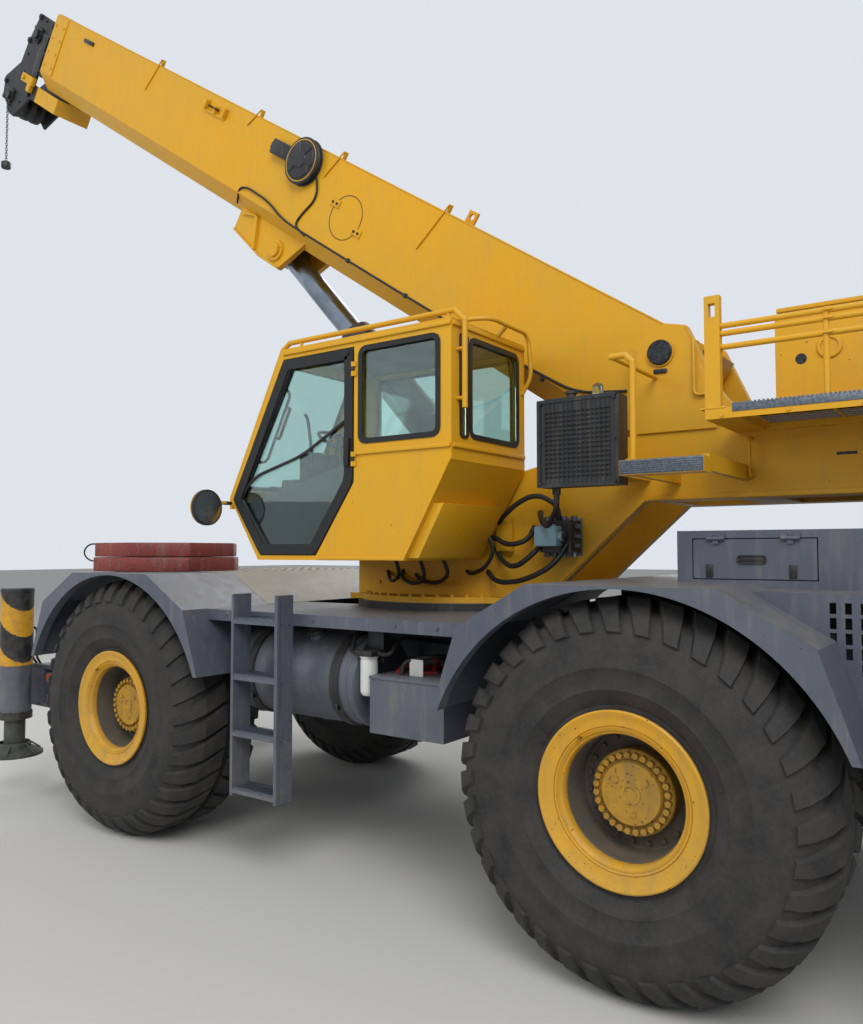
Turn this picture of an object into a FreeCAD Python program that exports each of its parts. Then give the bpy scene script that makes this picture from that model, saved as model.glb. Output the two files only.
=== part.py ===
"""Mobile crane for rough ground: two steered axles, four outriggers, a slewing upper part
with a cab and a four-section boom held up by one lift cylinder.

Millimetres, +X towards the boom's tip, +Y to the cab's side, +Z up.
Places are measured from the point on the ground midway between the axles, and every piece is
moved by origin_x at the end, so that the part's origin is under the middle of its box.
"""
import FreeCAD
import Part
import math
import os
import Sketcher
from FreeCAD import Placement, Rotation, Vector

# name, value in millimetres or degrees, what it is
SIZES = (
    ("origin_x", 1252.4, "from the middle of the wheelbase forward to the part's origin"),
    ("wheelbase", 3960, "front axle to rear axle"),
    ("tyre_y", 1275, "middle of a tyre from the centre line"),
    ("tyre_radius", 937, "tyre to the tips of its lugs"),
    ("tyre_width", 750, "tyre over its sidewalls"),
    ("tread_half", 220, "half of the tread between its shoulders"),
    ("tyre_wall", 55, "tyre's sidewalls"),
    ("tread_depth", 110, "tyre under its tread"),
    ("rim_flange_radius", 406, "rim over its flanges"),
    ("bead_radius", 318, "rim where the tyre sits"),
    ("rim_half", 330, "half of the rim's width"),
    ("rim_wall", 18, "thickness of the rim's barrel"),
    ("rim_disc_y", 60, "outside of the rim's disc from the tyre's middle"),
    ("hub_radius", 205, "planetary hub drum"),
    ("hub_out", 190, "face of the hub from the tyre's middle"),
    ("hub_cover", 152, "hub's raised cover"),
    ("kingpin_y", 1125, "kingpin from the centre line"),
    ("kingpin_radius", 55, "kingpin's pins"),
    ("post_radius", 92, "knuckle's post around the kingpin"),
    ("stub_radius", 80, "knuckle's stub in the hub"),
    ("axle_radius", 165, "axle tube"),
    ("axle_bulge", 215, "axle's differential case"),
    ("axle_end_y", 960, "end of the axle tube from the centre line"),
    ("frame_half", 450, "half of the carrier's box frame"),
    ("frame_bottom", 1165, "underside of the box frame"),
    ("frame_top", 1560, "top of the box frame"),
    ("frame_wall", 16, "plate of the box frame"),
    ("frame_front", 3800, "front end of the box frame"),
    ("frame_rear", 3800, "rear end of the box frame"),
    ("outrigger_x", 3560, "middle of an outrigger box from the middle of the wheelbase"),
    ("outrigger_low", 740, "underside of the outrigger boxes"),
    ("outrigger_back", 10, "ends of the outrigger boxes inside the engine cover's side"),
    ("box_wall", 16, "plate of the outrigger boxes"),
    ("beam_width", 200, "outrigger beam along the carrier"),
    ("beam_height", 300, "outrigger beam's height"),
    ("beam_wall", 14, "plate of the outrigger beams"),
    ("slide_gap", 0.4, "running clearance of beams, sections and rams"),
    ("jack_clear", 40, "from the engine cover's side to a jack drawn in"),
    ("jack_radius", 130, "jack housing"),
    ("jack_top", 1770, "top of the jack housing"),
    ("jack_bottom", 640, "bottom of the jack housing"),
    ("ram_radius", 85, "jack ram"),
    ("float_radius", 230, "jack float"),
    ("float_z", 330, "underside of a float, drawn up"),
    ("deck_half", 880, "half of the decks, where the fenders begin"),
    ("plate", 20, "deck and cover plates"),
    ("fender_over", 5, "fenders beyond the tyres' sides"),
    ("fender_top", 1925, "top of the fenders"),
    ("fender_knee_z", 1690, "knee of a fender's outline"),
    ("fender_low_z", 1250, "low ends of a fender"),
    ("fender_flat", 460, "half of a fender's flat top"),
    ("fender_knee", 870, "knee of a fender from the axle"),
    ("fender_end", 1022, "low end of a fender from the axle"),
    ("fender_skin", 12, "fender plate"),
    ("fender_lip", 70, "depth of the fender's outer band"),
    ("arch_drop", 89, "middle of the wheel arch below the axle"),
    ("arch_radius", 1064, "wheel arch"),
    ("board_depth", 75, "side board's edge"),
    ("board_out", 1450, "side board's edge from the centre line"),
    ("ladder_x", 470, "middle of the ladders"),
    ("ladder_width", 400, "ladder over its rails"),
    ("ladder_rail", 50, "ladder rail"),
    ("ladder_out", 1600, "ladder's outside from the centre line"),
    ("ladder_low", 520, "foot of the ladders"),
    ("step_pitch", 360, "one ladder step to the next"),
    ("tank_radius", 290, "round fuel tank"),
    ("tank_y", 1080, "middle of the tanks from the centre line"),
    ("tank_z", 1265, "middle of the fuel tank's height"),
    ("tank_gap", 143, "from the front tyres to the tanks"),
    ("tank_rear", 160, "rear end of the fuel tank, behind the middle"),
    ("battery_gap", 203, "from the rear tyres to the battery boxes"),
    ("battery_front", 300, "front end of the battery box, behind the middle"),
    ("battery_low", 1000, "underside of the battery box"),
    ("battery_top", 1330, "top of the battery box"),
    ("body_rear", 3960, "rear end of the engine cover"),
    ("body_half", 1250, "half of the lower engine cover"),
    ("body_top", 1900, "top of the lower engine cover"),
    ("body_bottom", 1180, "underside of the lower engine cover"),
    ("body_front", 2460, "front end of the lower engine cover"),
    ("hood_top", 2195, "top of the engine hood"),
    ("hood_front", 2020, "front end of the engine hood"),
    ("cover_wall", 14, "plate of the engine cover"),
    ("lid_front", 2100, "front edge of the hood's side doors"),
    ("lid_rear", 2716, "rear edge of the hood's side doors"),
    ("lid_gap", 6, "gap around doors and lids"),
    ("lid_margin", 40, "from the hood's top to its doors, and from the cover's top to them"),
    ("slot_front", 2825, "front end of the vent slots behind the middle"),
    ("slot_pitch", 62, "one column of vent slots to the next"),
    ("slot_wide", 28, "vent slot along the crane"),
    ("slot_rise", 66, "one row of vent slots to the next"),
    ("slot_tall", 50, "vent slot's height"),
    ("pad_ahead", 520, "middle of the stowed outrigger pads ahead of the front axle"),
    ("engine_front", 2400, "front of the engine block"),
    ("engine_rear", 3500, "rear of the engine block"),
    ("engine_half", 380, "half of the engine block"),
    ("engine_top", 2080, "top of the engine block"),
    ("gearbox_front", 450, "front of the gearbox behind the middle"),
    ("gearbox_rear", 1000, "rear of the gearbox behind the middle"),
    ("gearbox_half", 260, "half of the gearbox"),
    ("gearbox_low", 760, "underside of the gearbox"),
    ("shaft_radius", 45, "drive shafts"),
    ("pad_y", 720, "middle of the pads from the centre line"),
    ("pad_radius", 620, "pad, across its corners"),
    ("pad_height", 117, "one pad"),
    ("swing_x", 50, "slewing axis behind the middle of the wheelbase"),
    ("ring_radius", 740, "slewing ring"),
    ("ring_height", 180, "slewing ring's lower half"),
    ("turret_floor", 40, "turret's floor plate"),
    ("turret_front", 600, "front of the turret"),
    ("turret_half", 520, "half of the turret's floor"),
    ("cheek_in", 345, "inside of a turret side plate from the centre line"),
    ("cheek_wall", 75, "turret side plate"),
    ("cheek_plate", 16, "doubler plate on a turret cheek"),
    ("bed_opening", 240, "half of the openings in the tail's underside"),
    ("turret_low", 2390, "underside of the turret's tail"),
    ("turret_deck", 2920, "top of the turret's tail"),
    ("turret_tail", 3900, "rear end of the turret"),
    ("weight_front", 3250, "front of the counterweight"),
    ("weight_rear", 4080, "rear of the counterweight"),
    ("weight_half", 1150, "half of the counterweight"),
    ("weight_top", 3000, "top of the counterweight's wings"),
    ("drum_radius", 190, "hoist drum"),
    ("drum_z", 3200, "hoist drums' axis"),
    ("drum_front_x", 2700, "front hoist drum behind the middle"),
    ("drum_rear_x", 3420, "rear hoist drum behind the middle"),
    ("walk_out", 1000, "walkway's edge from the centre line"),
    ("walk_front", 2350, "front end of the walkway"),
    ("walk_top", 2830, "top of the walkway"),
    ("rail_radius", 15, "handrail tube"),
    ("rail_top", 3255, "top handrail"),
    ("rail_pitch", 40, "one handrail to the next"),
    ("rail_drop", 110, "lowest handrail under the top one"),
    ("post_top", 3400, "post at the walkway's front end"),
    ("post_wide", 78, "post along the crane"),
    ("post_deep", 45, "post across the crane"),
    ("walk_depth", 70, "walkway's depth"),
    ("pivot_x", 1780, "boom's pin behind the middle of the wheelbase"),
    ("pivot_z", 3280, "boom's pin above the ground"),
    ("pivot_radius", 85, "boom's pin"),
    ("boom_angle", 33.9, "boom's angle as it stands"),
    ("boom_half", 300, "half of the boom's base section"),
    ("boom_above", 160, "top of the base section above its pin"),
    ("boom_below", 640, "underside of the base section below its pin"),
    ("boom_chamfer", 140, "slanted lower corners of the sections"),
    ("boom_wall", 12, "plate of the boom's sections"),
    ("boom_tail", 170, "rear end of the base section behind its pin"),
    ("boom_front", 8500, "front end of the base section"),
    ("section_gap", 20, "from one section to the next, filled by wear pads"),
    ("section_step", 60, "each inner section's collar beyond the one around it"),
    ("section_rear", 400, "rear end of the first inner section"),
    ("pad_length", 300, "wear pad along the boom"),
    ("head_length", 790, "sheave head beyond the collars"),
    ("head_wall", 25, "plate of the sheave head"),
    ("head_half", 210, "half of the sheave head"),
    ("sheave_radius", 210, "sheave"),
    ("eye_along", 3750, "rod's pin along the boom"),
    ("eye_below", 770, "rod's pin below the boom's pin line"),
    ("eye_radius", 115, "rod's eye"),
    ("eye_half", 110, "half of the eyes' width"),
    ("reel_along", 3715, "cable reel along the boom"),
    ("reel_radius", 175, "cable reel"),
    ("reel_depth", 70, "cable reel across the boom"),
    ("nose_length", 270, "doubler around the base section's nose"),
    ("nose_plate", 10, "doubler's plate"),
    ("lug_along", 2100, "lifting lug along the boom"),
    ("lift_pin_radius", 60, "pins of the lift cylinder"),
    ("bracket_wall", 40, "plate of the brackets"),
    ("lift_foot_x", 620, "cylinder's foot pin behind the middle"),
    ("lift_foot_z", 2120, "cylinder's foot pin above the ground"),
    ("rod_radius", 95, "lift rod"),
    ("rod_length", 2400, "lift rod from its eye to its piston"),
    ("barrel_radius", 150, "lift barrel"),
    ("barrel_length", 2400, "lift barrel from its foot pin to its head"),
    ("gland_out", 5, "cylinder head outside the barrel"),
    ("cab_right", 460, "cab's inner side from the centre line"),
    ("cab_left", 1320, "cab's outer side from the centre line"),
    ("cab_wall", 45, "cab's walls"),
    ("cab_floor", 2030, "underside of the cab"),
    ("cab_roof", 3450, "top of the cab"),
    ("cab_rear", 860, "rear of the cab behind the middle"),
    ("cab_nose", 1020, "foremost point of the cab"),
    ("cab_nose_z", 2450, "height of the cab's foremost point"),
    ("cab_toe", 740, "front end of the cab's floor"),
    ("cab_brow", 520, "front end of the cab's roof"),
    ("cab_heel", 520, "rear end of the cab's floor behind the middle"),
    ("cab_heel_z", 2620, "top of the cab's slanted rear underside"),
    ("glass", 8, "window panes"),
    ("window_rim", 90, "from a window to the cab's edge"),
    ("narrow_pane", 75, "narrow rear window"),
    ("rail_tube", 17, "tube of the cab's grab rails"),
    ("rail_stand", 55, "grab rails off the cab"),
    ("mirror_radius", 120, "round mirror"),
    ("door_post_x", 120, "rear edge of the door behind the middle"),
    ("door_low_x", 200, "lower rear corner of the door"),
    ("door_knee_z", 2520, "knee of the door's rear edge"),
    ("cushion", 110, "seat cushion and back"),
    ("cooler_front", 1275, "front of the oil cooler behind the middle"),
    ("cooler_rear", 1765, "rear of the oil cooler behind the middle"),
    ("cooler_out", 1050, "outside of the oil cooler"),
    ("cooler_depth", 130, "oil cooler across the crane"),
    ("cooler_low", 2450, "underside of the oil cooler"),
    ("cooler_top", 2945, "top of the oil cooler"),
    ("fin_pitch", 26, "one cooler fin to the next"),
    ("fin_gap", 14, "opening between two cooler fins"),
    ("fin_depth", 8, "cooler's fins"),
    ("step_front", 1850, "front end of the side step behind the middle"),
    ("step_rear", 2285, "rear end of the side step behind the middle"),
    ("side_step_out", 1250, "side step's edge from the centre line"),
    ("side_step_top", 2568, "top of the side step"),
    ("tread_strip", 75, "side step's tread strip"),
    ("grab_top", 3130, "bend of the grab tube over the side step"),
    ("valve_rear", 1245, "rear end of the valve block behind the middle"),
    ("valve_low", 2080, "underside of the valve block"),
    ("valve_top", 2280, "top of the valve block"),
    ("hinge_out", 12, "door hinge pins outside their plates"),
    ("hinge_radius", 10, "knuckle of a door hinge"),
    ("hinge_pin", 6, "pin of a door hinge"),
    ("hinge_play", 0.05, "clearance around hinge and link pins"),
    ("chain_length", 700, "chain of the hoist limit weight"),
    ("limit_radius", 55, "hoist limit weight"),
)

doc = FreeCAD.newDocument("mobile_crane")
sheet = doc.addObject("Spreadsheet::Sheet", "sizes")


class Value:
    """A size or place: its number now, and the formula that binds it to the sheet."""

    def __init__(self, number, formula):
        self.number = number
        self.formula = formula

    def __add__(self, other):
        return Value(self.number + number(other), f"({self.formula} + {formula(other)})")

    def __radd__(self, other):
        return Value(number(other) + self.number, f"({formula(other)} + {self.formula})")

    def __sub__(self, other):
        return Value(self.number - number(other), f"({self.formula} - {formula(other)})")

    def __rsub__(self, other):
        return Value(number(other) - self.number, f"({formula(other)} - {self.formula})")

    def __mul__(self, other):
        return Value(self.number * number(other), f"({self.formula} * {formula(other)})")

    __rmul__ = __mul__

    def __truediv__(self, other):
        return Value(self.number / number(other), f"({self.formula} / {formula(other)})")

    def __neg__(self):
        return self * -1


def number(value):
    return value.number if isinstance(value, Value) else float(value)


def formula(value):
    return value.formula if isinstance(value, Value) else f"({value})"


def cosine(angle):
    return Value(math.cos(math.radians(number(angle))), f"cos({formula(angle)})")


def sine(angle):
    return Value(math.sin(math.radians(number(angle))), f"sin({formula(angle)})")


def slope(rise, run):
    """The angle of a line in degrees."""
    turn = math.degrees(math.atan2(number(rise), number(run)))
    return Value(turn, f"(atan2({formula(rise)}; {formula(run)}) / 1 deg)")


def distance(rise, run):
    return Value(math.hypot(number(rise), number(run)), f"hypot({formula(rise)}; {formula(run)})")


class Sizes:
    """The sheet's values by name."""


size = Sizes()
for row, (name, value, note) in enumerate(SIZES, 1):
    sheet.set(f"A{row}", name)
    sheet.set(f"B{row}", str(value))
    sheet.setAlias(f"B{row}", name)
    sheet.set(f"C{row}", note)
    setattr(size, name, Value(float(value), f"sizes.{name}"))
doc.recompute()


def bind(item, prop, value):
    """Set a property from a value and keep its formula."""
    if isinstance(value, Value):
        item.setExpression(prop, value.formula)
    else:
        item.setExpression(prop, str(float(value)))


def place(item, x, y, z, axis=None, angle=0):
    if axis is not None:
        item.Placement = Placement(Vector(), Rotation(Vector(*axis), number(angle)))
        if isinstance(angle, Value):
            bind(item, "Placement.Rotation.Angle", angle)
    bind(item, "Placement.Base.x", x)
    bind(item, "Placement.Base.y", y)
    bind(item, "Placement.Base.z", z)
    return item


def ordered(a, b):
    return (a, b) if number(a) <= number(b) else (b, a)


def box(x0, x1, y0, y1, z0, z1):
    """A block between two places on each axis."""
    x0, x1 = ordered(x0, x1)
    y0, y1 = ordered(y0, y1)
    z0, z1 = ordered(z0, z1)
    item = doc.addObject("Part::Box", "block")
    bind(item, "Length", x1 - x0)
    bind(item, "Width", y1 - y0)
    bind(item, "Height", z1 - z0)
    return place(item, x0, y0, z0)


TURNS = {"x": ((0, 1, 0), 90), "y": ((1, 0, 0), -90), "z": ((0, 0, 1), 0)}


def rod(axis, radius, across, start, end):
    """A cylinder along an axis: across gives its place on the two other axes."""
    start, end = ordered(start, end)
    item = doc.addObject("Part::Cylinder", "round")
    bind(item, "Radius", radius)
    bind(item, "Height", end - start)
    a, b = across
    spot = {"x": (start, a, b), "y": (a, start, b), "z": (a, b, start)}[axis]
    turn_axis, turn = TURNS[axis]
    return place(item, *spot, turn_axis, turn)


def tube(radius, y, points):
    """A bent tube in an upright plane along the crane, through these places (x, z)."""
    pieces = []
    for (x0, z0), (x1, z1) in zip(points, points[1:]):
        item = doc.addObject("Part::Cylinder", "tube")
        bind(item, "Radius", radius)
        bind(item, "Height", distance(x1 - x0, z1 - z0))
        pieces.append(place(item, x0, y, z0, (0, 1, 0), slope(x1 - x0, z1 - z0)))
    for x, z in points[1:-1]:
        bend = doc.addObject("Part::Sphere", "bend")
        bind(bend, "Radius", radius + 1)
        pieces.append(place(bend, x, y, z))
    return pieces


def attach(sketch, body, plane):
    """Lay a sketch on one of its body's origin planes."""
    for feature in body.Origin.OriginFeatures:
        if feature.Role == f"{plane}_Plane":
            sketch.AttachmentSupport = [(feature, "")]
    sketch.MapMode = "FlatFace"


def draw(sketch, points):
    """A closed outline through these corners, each held by its two sizes."""
    spots = [Vector(number(a), number(b), 0) for a, b in points]
    count = len(spots)
    for i in range(count):
        sketch.addGeometry(Part.LineSegment(spots[i], spots[(i + 1) % count]), False)
    for i in range(count):
        sketch.addConstraint(Sketcher.Constraint("Coincident", i, 2, (i + 1) % count, 1))
    for i, corner in enumerate(points):
        for kind, value in zip(("DistanceX", "DistanceY"), corner):
            rule = Sketcher.Constraint(kind, -1, 1, i, 1, number(value))
            index = sketch.addConstraint(rule)
            if isinstance(value, Value):
                bind(sketch, f"Constraints[{index}]", value)


def profile(plane, points, start, end):
    """A body whose sketch, given by its corners, is drawn out between two places.

    The plane is "XZ", "YZ" or "XY"; each corner is a pair of places in that plane.
    """
    start, end = ordered(start, end)
    body = doc.addObject("PartDesign::Body", "body")
    sketch = body.newObject("Sketcher::SketchObject", "sketch")
    attach(sketch, body, plane)
    offset = -end if plane == "XZ" else start
    bind(sketch, "AttachmentOffset.Base.z", offset + 0.0)
    draw(sketch, points)
    pad = body.newObject("PartDesign::Pad", "pad")
    pad.Profile = sketch
    bind(pad, "Length", end - start)
    return body


def turned(points, turns=360):
    """A body whose sketch of (radius, along Y) corners is turned around the Y axis."""
    body = doc.addObject("PartDesign::Body", "body")
    sketch = body.newObject("Sketcher::SketchObject", "sketch")
    attach(sketch, body, "XY")
    draw(sketch, points)
    spin = body.newObject("PartDesign::Revolution", "spin")
    spin.Profile = sketch
    spin.ReferenceAxis = (sketch, ["V_Axis"])
    spin.Angle = turns
    return body


def fuse(items):
    if len(items) == 1:
        return items[0]
    item = doc.addObject("Part::MultiFuse", "joined")
    item.Shapes = items
    return item


def cut(base, tools):
    item = doc.addObject("Part::Cut", "cut")
    item.Base = base
    item.Tool = fuse(tools)
    return item


def group(items):
    """Pieces of one node that touch nothing of each other."""
    item = doc.addObject("Part::Compound", "set")
    item.Links = items
    return item


NODES = []


def node(label, item, x=0, y=0, z=0, axis=None, angle=0):
    """Name a finished piece, move it to its place and keep it for the export."""
    if item.TypeId in ("Part::Box", "Part::Cylinder"):
        item = group([item])
    item.Label = label
    place(item, x - size.origin_x, y, z, axis, angle)
    NODES.append(item)


def on_boom(label, item):
    """A piece drawn along X from the boom's pin, laid at the boom's angle."""
    node(label, item, -size.pivot_x, 0, size.pivot_z, (0, -1, 0), size.boom_angle)


# Places worked out from the sizes

front_x = size.wheelbase / 2
rear_x = -size.wheelbase / 2
arch_z = size.tyre_radius - size.arch_drop
swing_x = -size.swing_x
ring_top = size.frame_top + size.ring_height
floor_low = ring_top + size.slide_gap
floor_top = floor_low + size.turret_floor
cheek_out = size.cheek_in + size.cheek_wall
pivot_x = -size.pivot_x
foot_x = -size.lift_foot_x
pads_low = size.fender_top + 0.0
board_top = size.fender_knee_z + 0.0
outrigger_half = size.body_half - size.outrigger_back
jack_y = size.body_half + size.jack_clear + size.jack_radius
fender_outer = size.tyre_y + size.tyre_width / 2 + size.fender_over
tank_front = front_x - size.tyre_radius - size.tank_gap
battery_rear = rear_x + size.tyre_radius + size.battery_gap
hoist_front = -size.drum_front_x + 280
AXLES = (("front", front_x), ("rear", rear_x))
SIDES = (("left", 1), ("right", -1))
GRATING_BARS = 7
# openings under the tail, from and to so far behind the boom's pin
BED_OPENINGS = ((0, 400), (640, 1060), (1300, 1720))
SLOT_COLUMNS = 12
COOLER_FINS = 15
SLOT_ROWS = 6
# depth below the tread, share of the tyre's half width
TYRE_CURVE = ((437, 0.94), (257, 1.0), (187, 0.985), (97, 0.895), (37, 0.76))
# sheave head's upper corners: share of its length, share of the boom's depth below its top
HEAD_SIDE = (
    (-0.038, 0.9), (-0.038, 0.125), (0.506, 0.1), (0.633, 0.5625), (0.658, 0.85), (1.0, 1.15),
    (0.899, 1.425), (0.418, 1.6125), (0.089, 1.25), (-0.734, 1.25),
)
# sheave groups and the limit weight's pin in the same shares
HEAD_SHEAVES = ((0.658, 1.3625), (0.38, 0.3875))
HEAD_WEIGHT = (0.582, 1.5)


def knuckles(axis, across, start):
    """Fixed knuckles with their pin, and the bored knuckle that turns between them."""
    long = 30
    radius = size.hinge_radius
    fixed = [
        rod(axis, radius, across, start, start + long),
        rod(axis, radius, across, start + long * 2, start + long * 3),
        rod(axis, size.hinge_pin, across, start, start + long * 3),
    ]
    turning = rod(axis, radius, across, start + long + size.slide_gap,
                  start + long * 2 - size.slide_gap)
    bore = rod(axis, size.hinge_pin + size.hinge_play, across, start + long, start + long * 2)
    return fixed, turning, bore


def carrier_frame():
    """Box frame with an outrigger box at each end, two beam channels in each."""
    shell = [box(-size.frame_rear, size.frame_front, -size.frame_half, size.frame_half,
                 size.frame_bottom, size.frame_top)]
    wall = size.frame_wall
    hollow = [box(-size.frame_rear - 10, size.frame_front + 10, wall - size.frame_half,
                  size.frame_half - wall, size.frame_bottom + wall, size.frame_top - wall)]
    inner_width = size.beam_width + size.slide_gap * 2
    inner_height = size.beam_height + size.slide_gap * 2
    half_x = inner_width + size.box_wall * 1.5
    low = size.outrigger_low
    high = low + inner_height + size.box_wall * 2
    for end in (1, -1):
        centre = size.outrigger_x * end
        shell.append(box(centre - half_x, centre + half_x, -outrigger_half,
                         outrigger_half, low, high))
        shell.append(box(centre - half_x, centre + half_x, -size.frame_half,
                         size.frame_half, high - 1, size.frame_bottom + wall))
        for side in (1, -1):
            x0 = centre + side * size.box_wall / 2
            hollow.append(box(x0, x0 + side * inner_width, -outrigger_half - 10,
                              outrigger_half + 10, low + size.box_wall,
                              low + size.box_wall + inner_height))
    node("carrier_frame", cut(fuse(shell), hollow))


def outriggers():
    """Beams that slide out sideways, each with its jack housing, ram and float."""
    for end_name, end in (("front", 1), ("rear", -1)):
        centre = size.outrigger_x * end
        for side_name, side in SIDES:
            step = size.box_wall / 2 + size.slide_gap
            x0 = centre + side * step
            x1 = x0 + side * size.beam_width
            middle = x0 + side * size.beam_width / 2
            z0 = size.outrigger_low + size.box_wall + size.slide_gap
            inner = -outrigger_half + 60
            beam = box(x0, x1, side * inner, side * jack_y, z0, z0 + size.beam_height)
            wall = size.beam_wall
            hollow = box(x0 + side * wall, x1 - side * wall, side * (inner - 10),
                         side * (jack_y - size.jack_radius), z0 + wall,
                         z0 + size.beam_height - wall)
            tube = rod("z", size.jack_radius, (middle, side * jack_y),
                       size.jack_bottom, size.jack_top)
            bore = rod("z", size.ram_radius + size.slide_gap, (middle, side * jack_y),
                       size.jack_bottom - 10, size.jack_top - 60)
            node(f"{end_name}_{side_name}_beam", cut(fuse([beam, tube]), [bore, hollow]))
            ram = rod("z", size.ram_radius, (middle, side * jack_y),
                      size.float_z + 20, size.jack_top - 100)
            foot = doc.addObject("Part::Cone", "foot")
            bind(foot, "Radius1", size.float_radius)
            bind(foot, "Radius2", size.ram_radius + 40)
            bind(foot, "Height", size.float_radius / 3)
            place(foot, middle, side * jack_y, size.float_z)
            node(f"{end_name}_{side_name}_jack", fuse([ram, foot]))


def fender_outline(middle, skin=0):
    """Corners of a fender's outside, or of its inside when a skin is given."""
    flat = size.fender_flat - skin * 0.4
    knee = size.fender_knee - skin * 1.2
    end = size.fender_end - skin
    return [
        (middle - end, size.fender_low_z + 0.0),
        (middle - knee, size.fender_knee_z - skin * 0.5),
        (middle - flat, size.fender_top - skin),
        (middle + flat, size.fender_top - skin),
        (middle + knee, size.fender_knee_z - skin * 0.5),
        (middle + end, size.fender_low_z + 0.0),
    ]


def arch(middle, side, inner, outer):
    return rod("y", size.arch_radius, (middle, arch_z), side * inner, side * outer)


def fenders():
    """Folded plate fenders, open below around the tyres."""
    for name, middle in AXLES:
        made = []
        for side_name, side in SIDES:
            blank = profile("XZ", fender_outline(middle), side * size.deck_half,
                            side * fender_outer)
            inside = profile("XZ", fender_outline(middle, size.fender_skin),
                             side * (size.deck_half - 10),
                             side * (fender_outer - size.fender_lip))
            opening = arch(middle, side, size.deck_half - 10, fender_outer + 10)
            made.append(cut(blank, [inside, opening]))
        node(f"{name}_fenders", group(made))


def board_end(drop):
    """Distance from the axle to a fender's slanted end, some way below its knee."""
    share = drop / (size.fender_knee_z - size.fender_low_z)
    return size.fender_knee + (size.fender_end - size.fender_knee) * share


def board(drop0, drop1, y0, y1):
    """A strip that ends on the fenders' slanted ends, between two depths below their knees."""
    high = size.fender_knee_z - drop0
    low = size.fender_knee_z - drop1
    corners = []
    for drop, z in ((drop0, high), (drop1, low)):
        ends = [rear_x + board_end(drop), front_x - board_end(drop)]
        corners += [(x, z) for x in (ends if drop is drop0 else ends[::-1])]
    return profile("XZ", corners, y0, y1)


def decks():
    """Folded decks between the fenders, and the side boards from one fender to the other."""
    plate = size.plate
    top = size.fender_top
    skirt = size.fender_skin
    flat = size.fender_flat
    knee = size.fender_knee
    low = size.fender_knee_z
    made = []
    for middle in (front_x, rear_x):
        folded = [
            (middle - knee, low + 0.0), (middle - flat, top + 0.0), (middle + flat, top + 0.0),
            (middle + knee, low + 0.0), (middle + knee - plate * 2, low + 0.0),
            (middle + flat - plate * 0.3, top - plate), (middle - flat + plate * 0.3, top - plate),
            (middle - knee + plate * 2, low + 0.0),
        ]
        made.append(profile("XZ", folded, -size.deck_half, size.deck_half))
        for x in (middle - flat, middle + flat - skirt):
            made.append(box(x, x + skirt, -size.frame_half, size.frame_half, size.frame_top,
                            top - plate / 2))
    half = size.frame_half
    tools = [
        box(front_x + flat, front_x + knee + 10, -half, half, size.frame_top + 0.5, top + 10),
        box(rear_x + flat, front_x - flat, -half, half, size.frame_top + 0.5, top + 10),
        box(-size.body_rear, -size.hood_front, -size.deck_half - 10, size.deck_half + 10,
            size.frame_top - 10, top + 10),
    ]
    for side_name, side in SIDES:
        edge = side * (size.board_out - skirt)
        made.append(board(Value(0.0, "0"), plate, side * half, side * size.board_out))
        made.append(board(Value(0.0, "0"), size.board_depth, edge, side * size.board_out))
        # brackets on the frame under the boards
        for x in (rear_x + size.fender_end + 60, front_x - size.fender_end - 40):
            made.append(box(x, x + skirt, side * half, side * (half + 300),
                            size.frame_top - 100, low - plate / 2))
    # battens under the stowed pads
    for y in (size.pad_y - 250, size.pad_y + 90):
        y1 = y + 60
        made.append(box(front_x + flat - 200, front_x + flat - 140, y, y1, top - 1, pads_low))
        made.append(box(front_x + flat - 60, front_x + flat, y, y1, top - 1, pads_low))
    tools.append(rod("z", size.ring_radius + 15, (swing_x, 0), size.frame_top + 0.5, top))
    node("decks", cut(fuse(made), tools))


def ladders():
    """A ladder on each side below the front of the side boards."""
    made = []
    half = size.ladder_width / 2
    rail = size.ladder_rail
    for side_name, side in SIDES:
        pieces = []
        outer = side * size.ladder_out
        inner = side * (size.board_out + 0.0)
        for x0 in (size.ladder_x - half, size.ladder_x + half - 12):
            pieces.append(box(x0, x0 + 12, inner, outer, size.ladder_low, board_top + 120))
        for step in range(4):
            z = size.ladder_low + 20 + size.step_pitch * step
            pieces.append(box(size.ladder_x - half, size.ladder_x + half, inner, outer,
                              z, z + rail / 2))
        made.append(fuse(pieces))
    node("ladders", group(made))


def tanks():
    """Round fuel tank on the left and a square oil tank on the right."""
    front = tank_front
    rear = -size.tank_rear
    pieces = [rod("x", size.tank_radius, (size.tank_y, size.tank_z), rear, front)]
    band = 60
    for x in (rear + 120, front - 180):
        pieces.append(rod("x", size.tank_radius + 8, (size.tank_y, size.tank_z), x, x + band))
        pieces.append(box(x, x + band, size.frame_half, size.tank_y, size.frame_bottom + 60,
                          size.frame_bottom + 180))
    node("fuel_tank", fuse(pieces))
    node("oil_tank", box(rear, front, -size.frame_half, -size.tank_y - size.tank_radius * 0.8,
                         size.battery_low, size.frame_top - 20))
    boxes = []
    for side_name, side in SIDES:
        boxes.append(box(battery_rear, -size.battery_front, side * size.frame_half,
                         side * (size.tank_y + size.tank_radius), size.battery_low,
                         size.battery_top))
    node("battery_boxes", group(boxes))


def vent_slots(side):
    """Upright slots in the lower cover: each column further back is one slot deeper."""
    made = []
    for column in range(SLOT_COLUMNS):
        x = -size.slot_front - size.slot_pitch * column
        for row in range(min(3 + column, SLOT_ROWS)):
            high = size.body_top - size.lid_margin - size.slot_rise * row
            made.append(box(x, x - size.slot_wide, side * (size.body_half - size.cover_wall - 5),
                            side * (size.body_half + 5), high - size.slot_tall, high))
    return made


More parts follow.
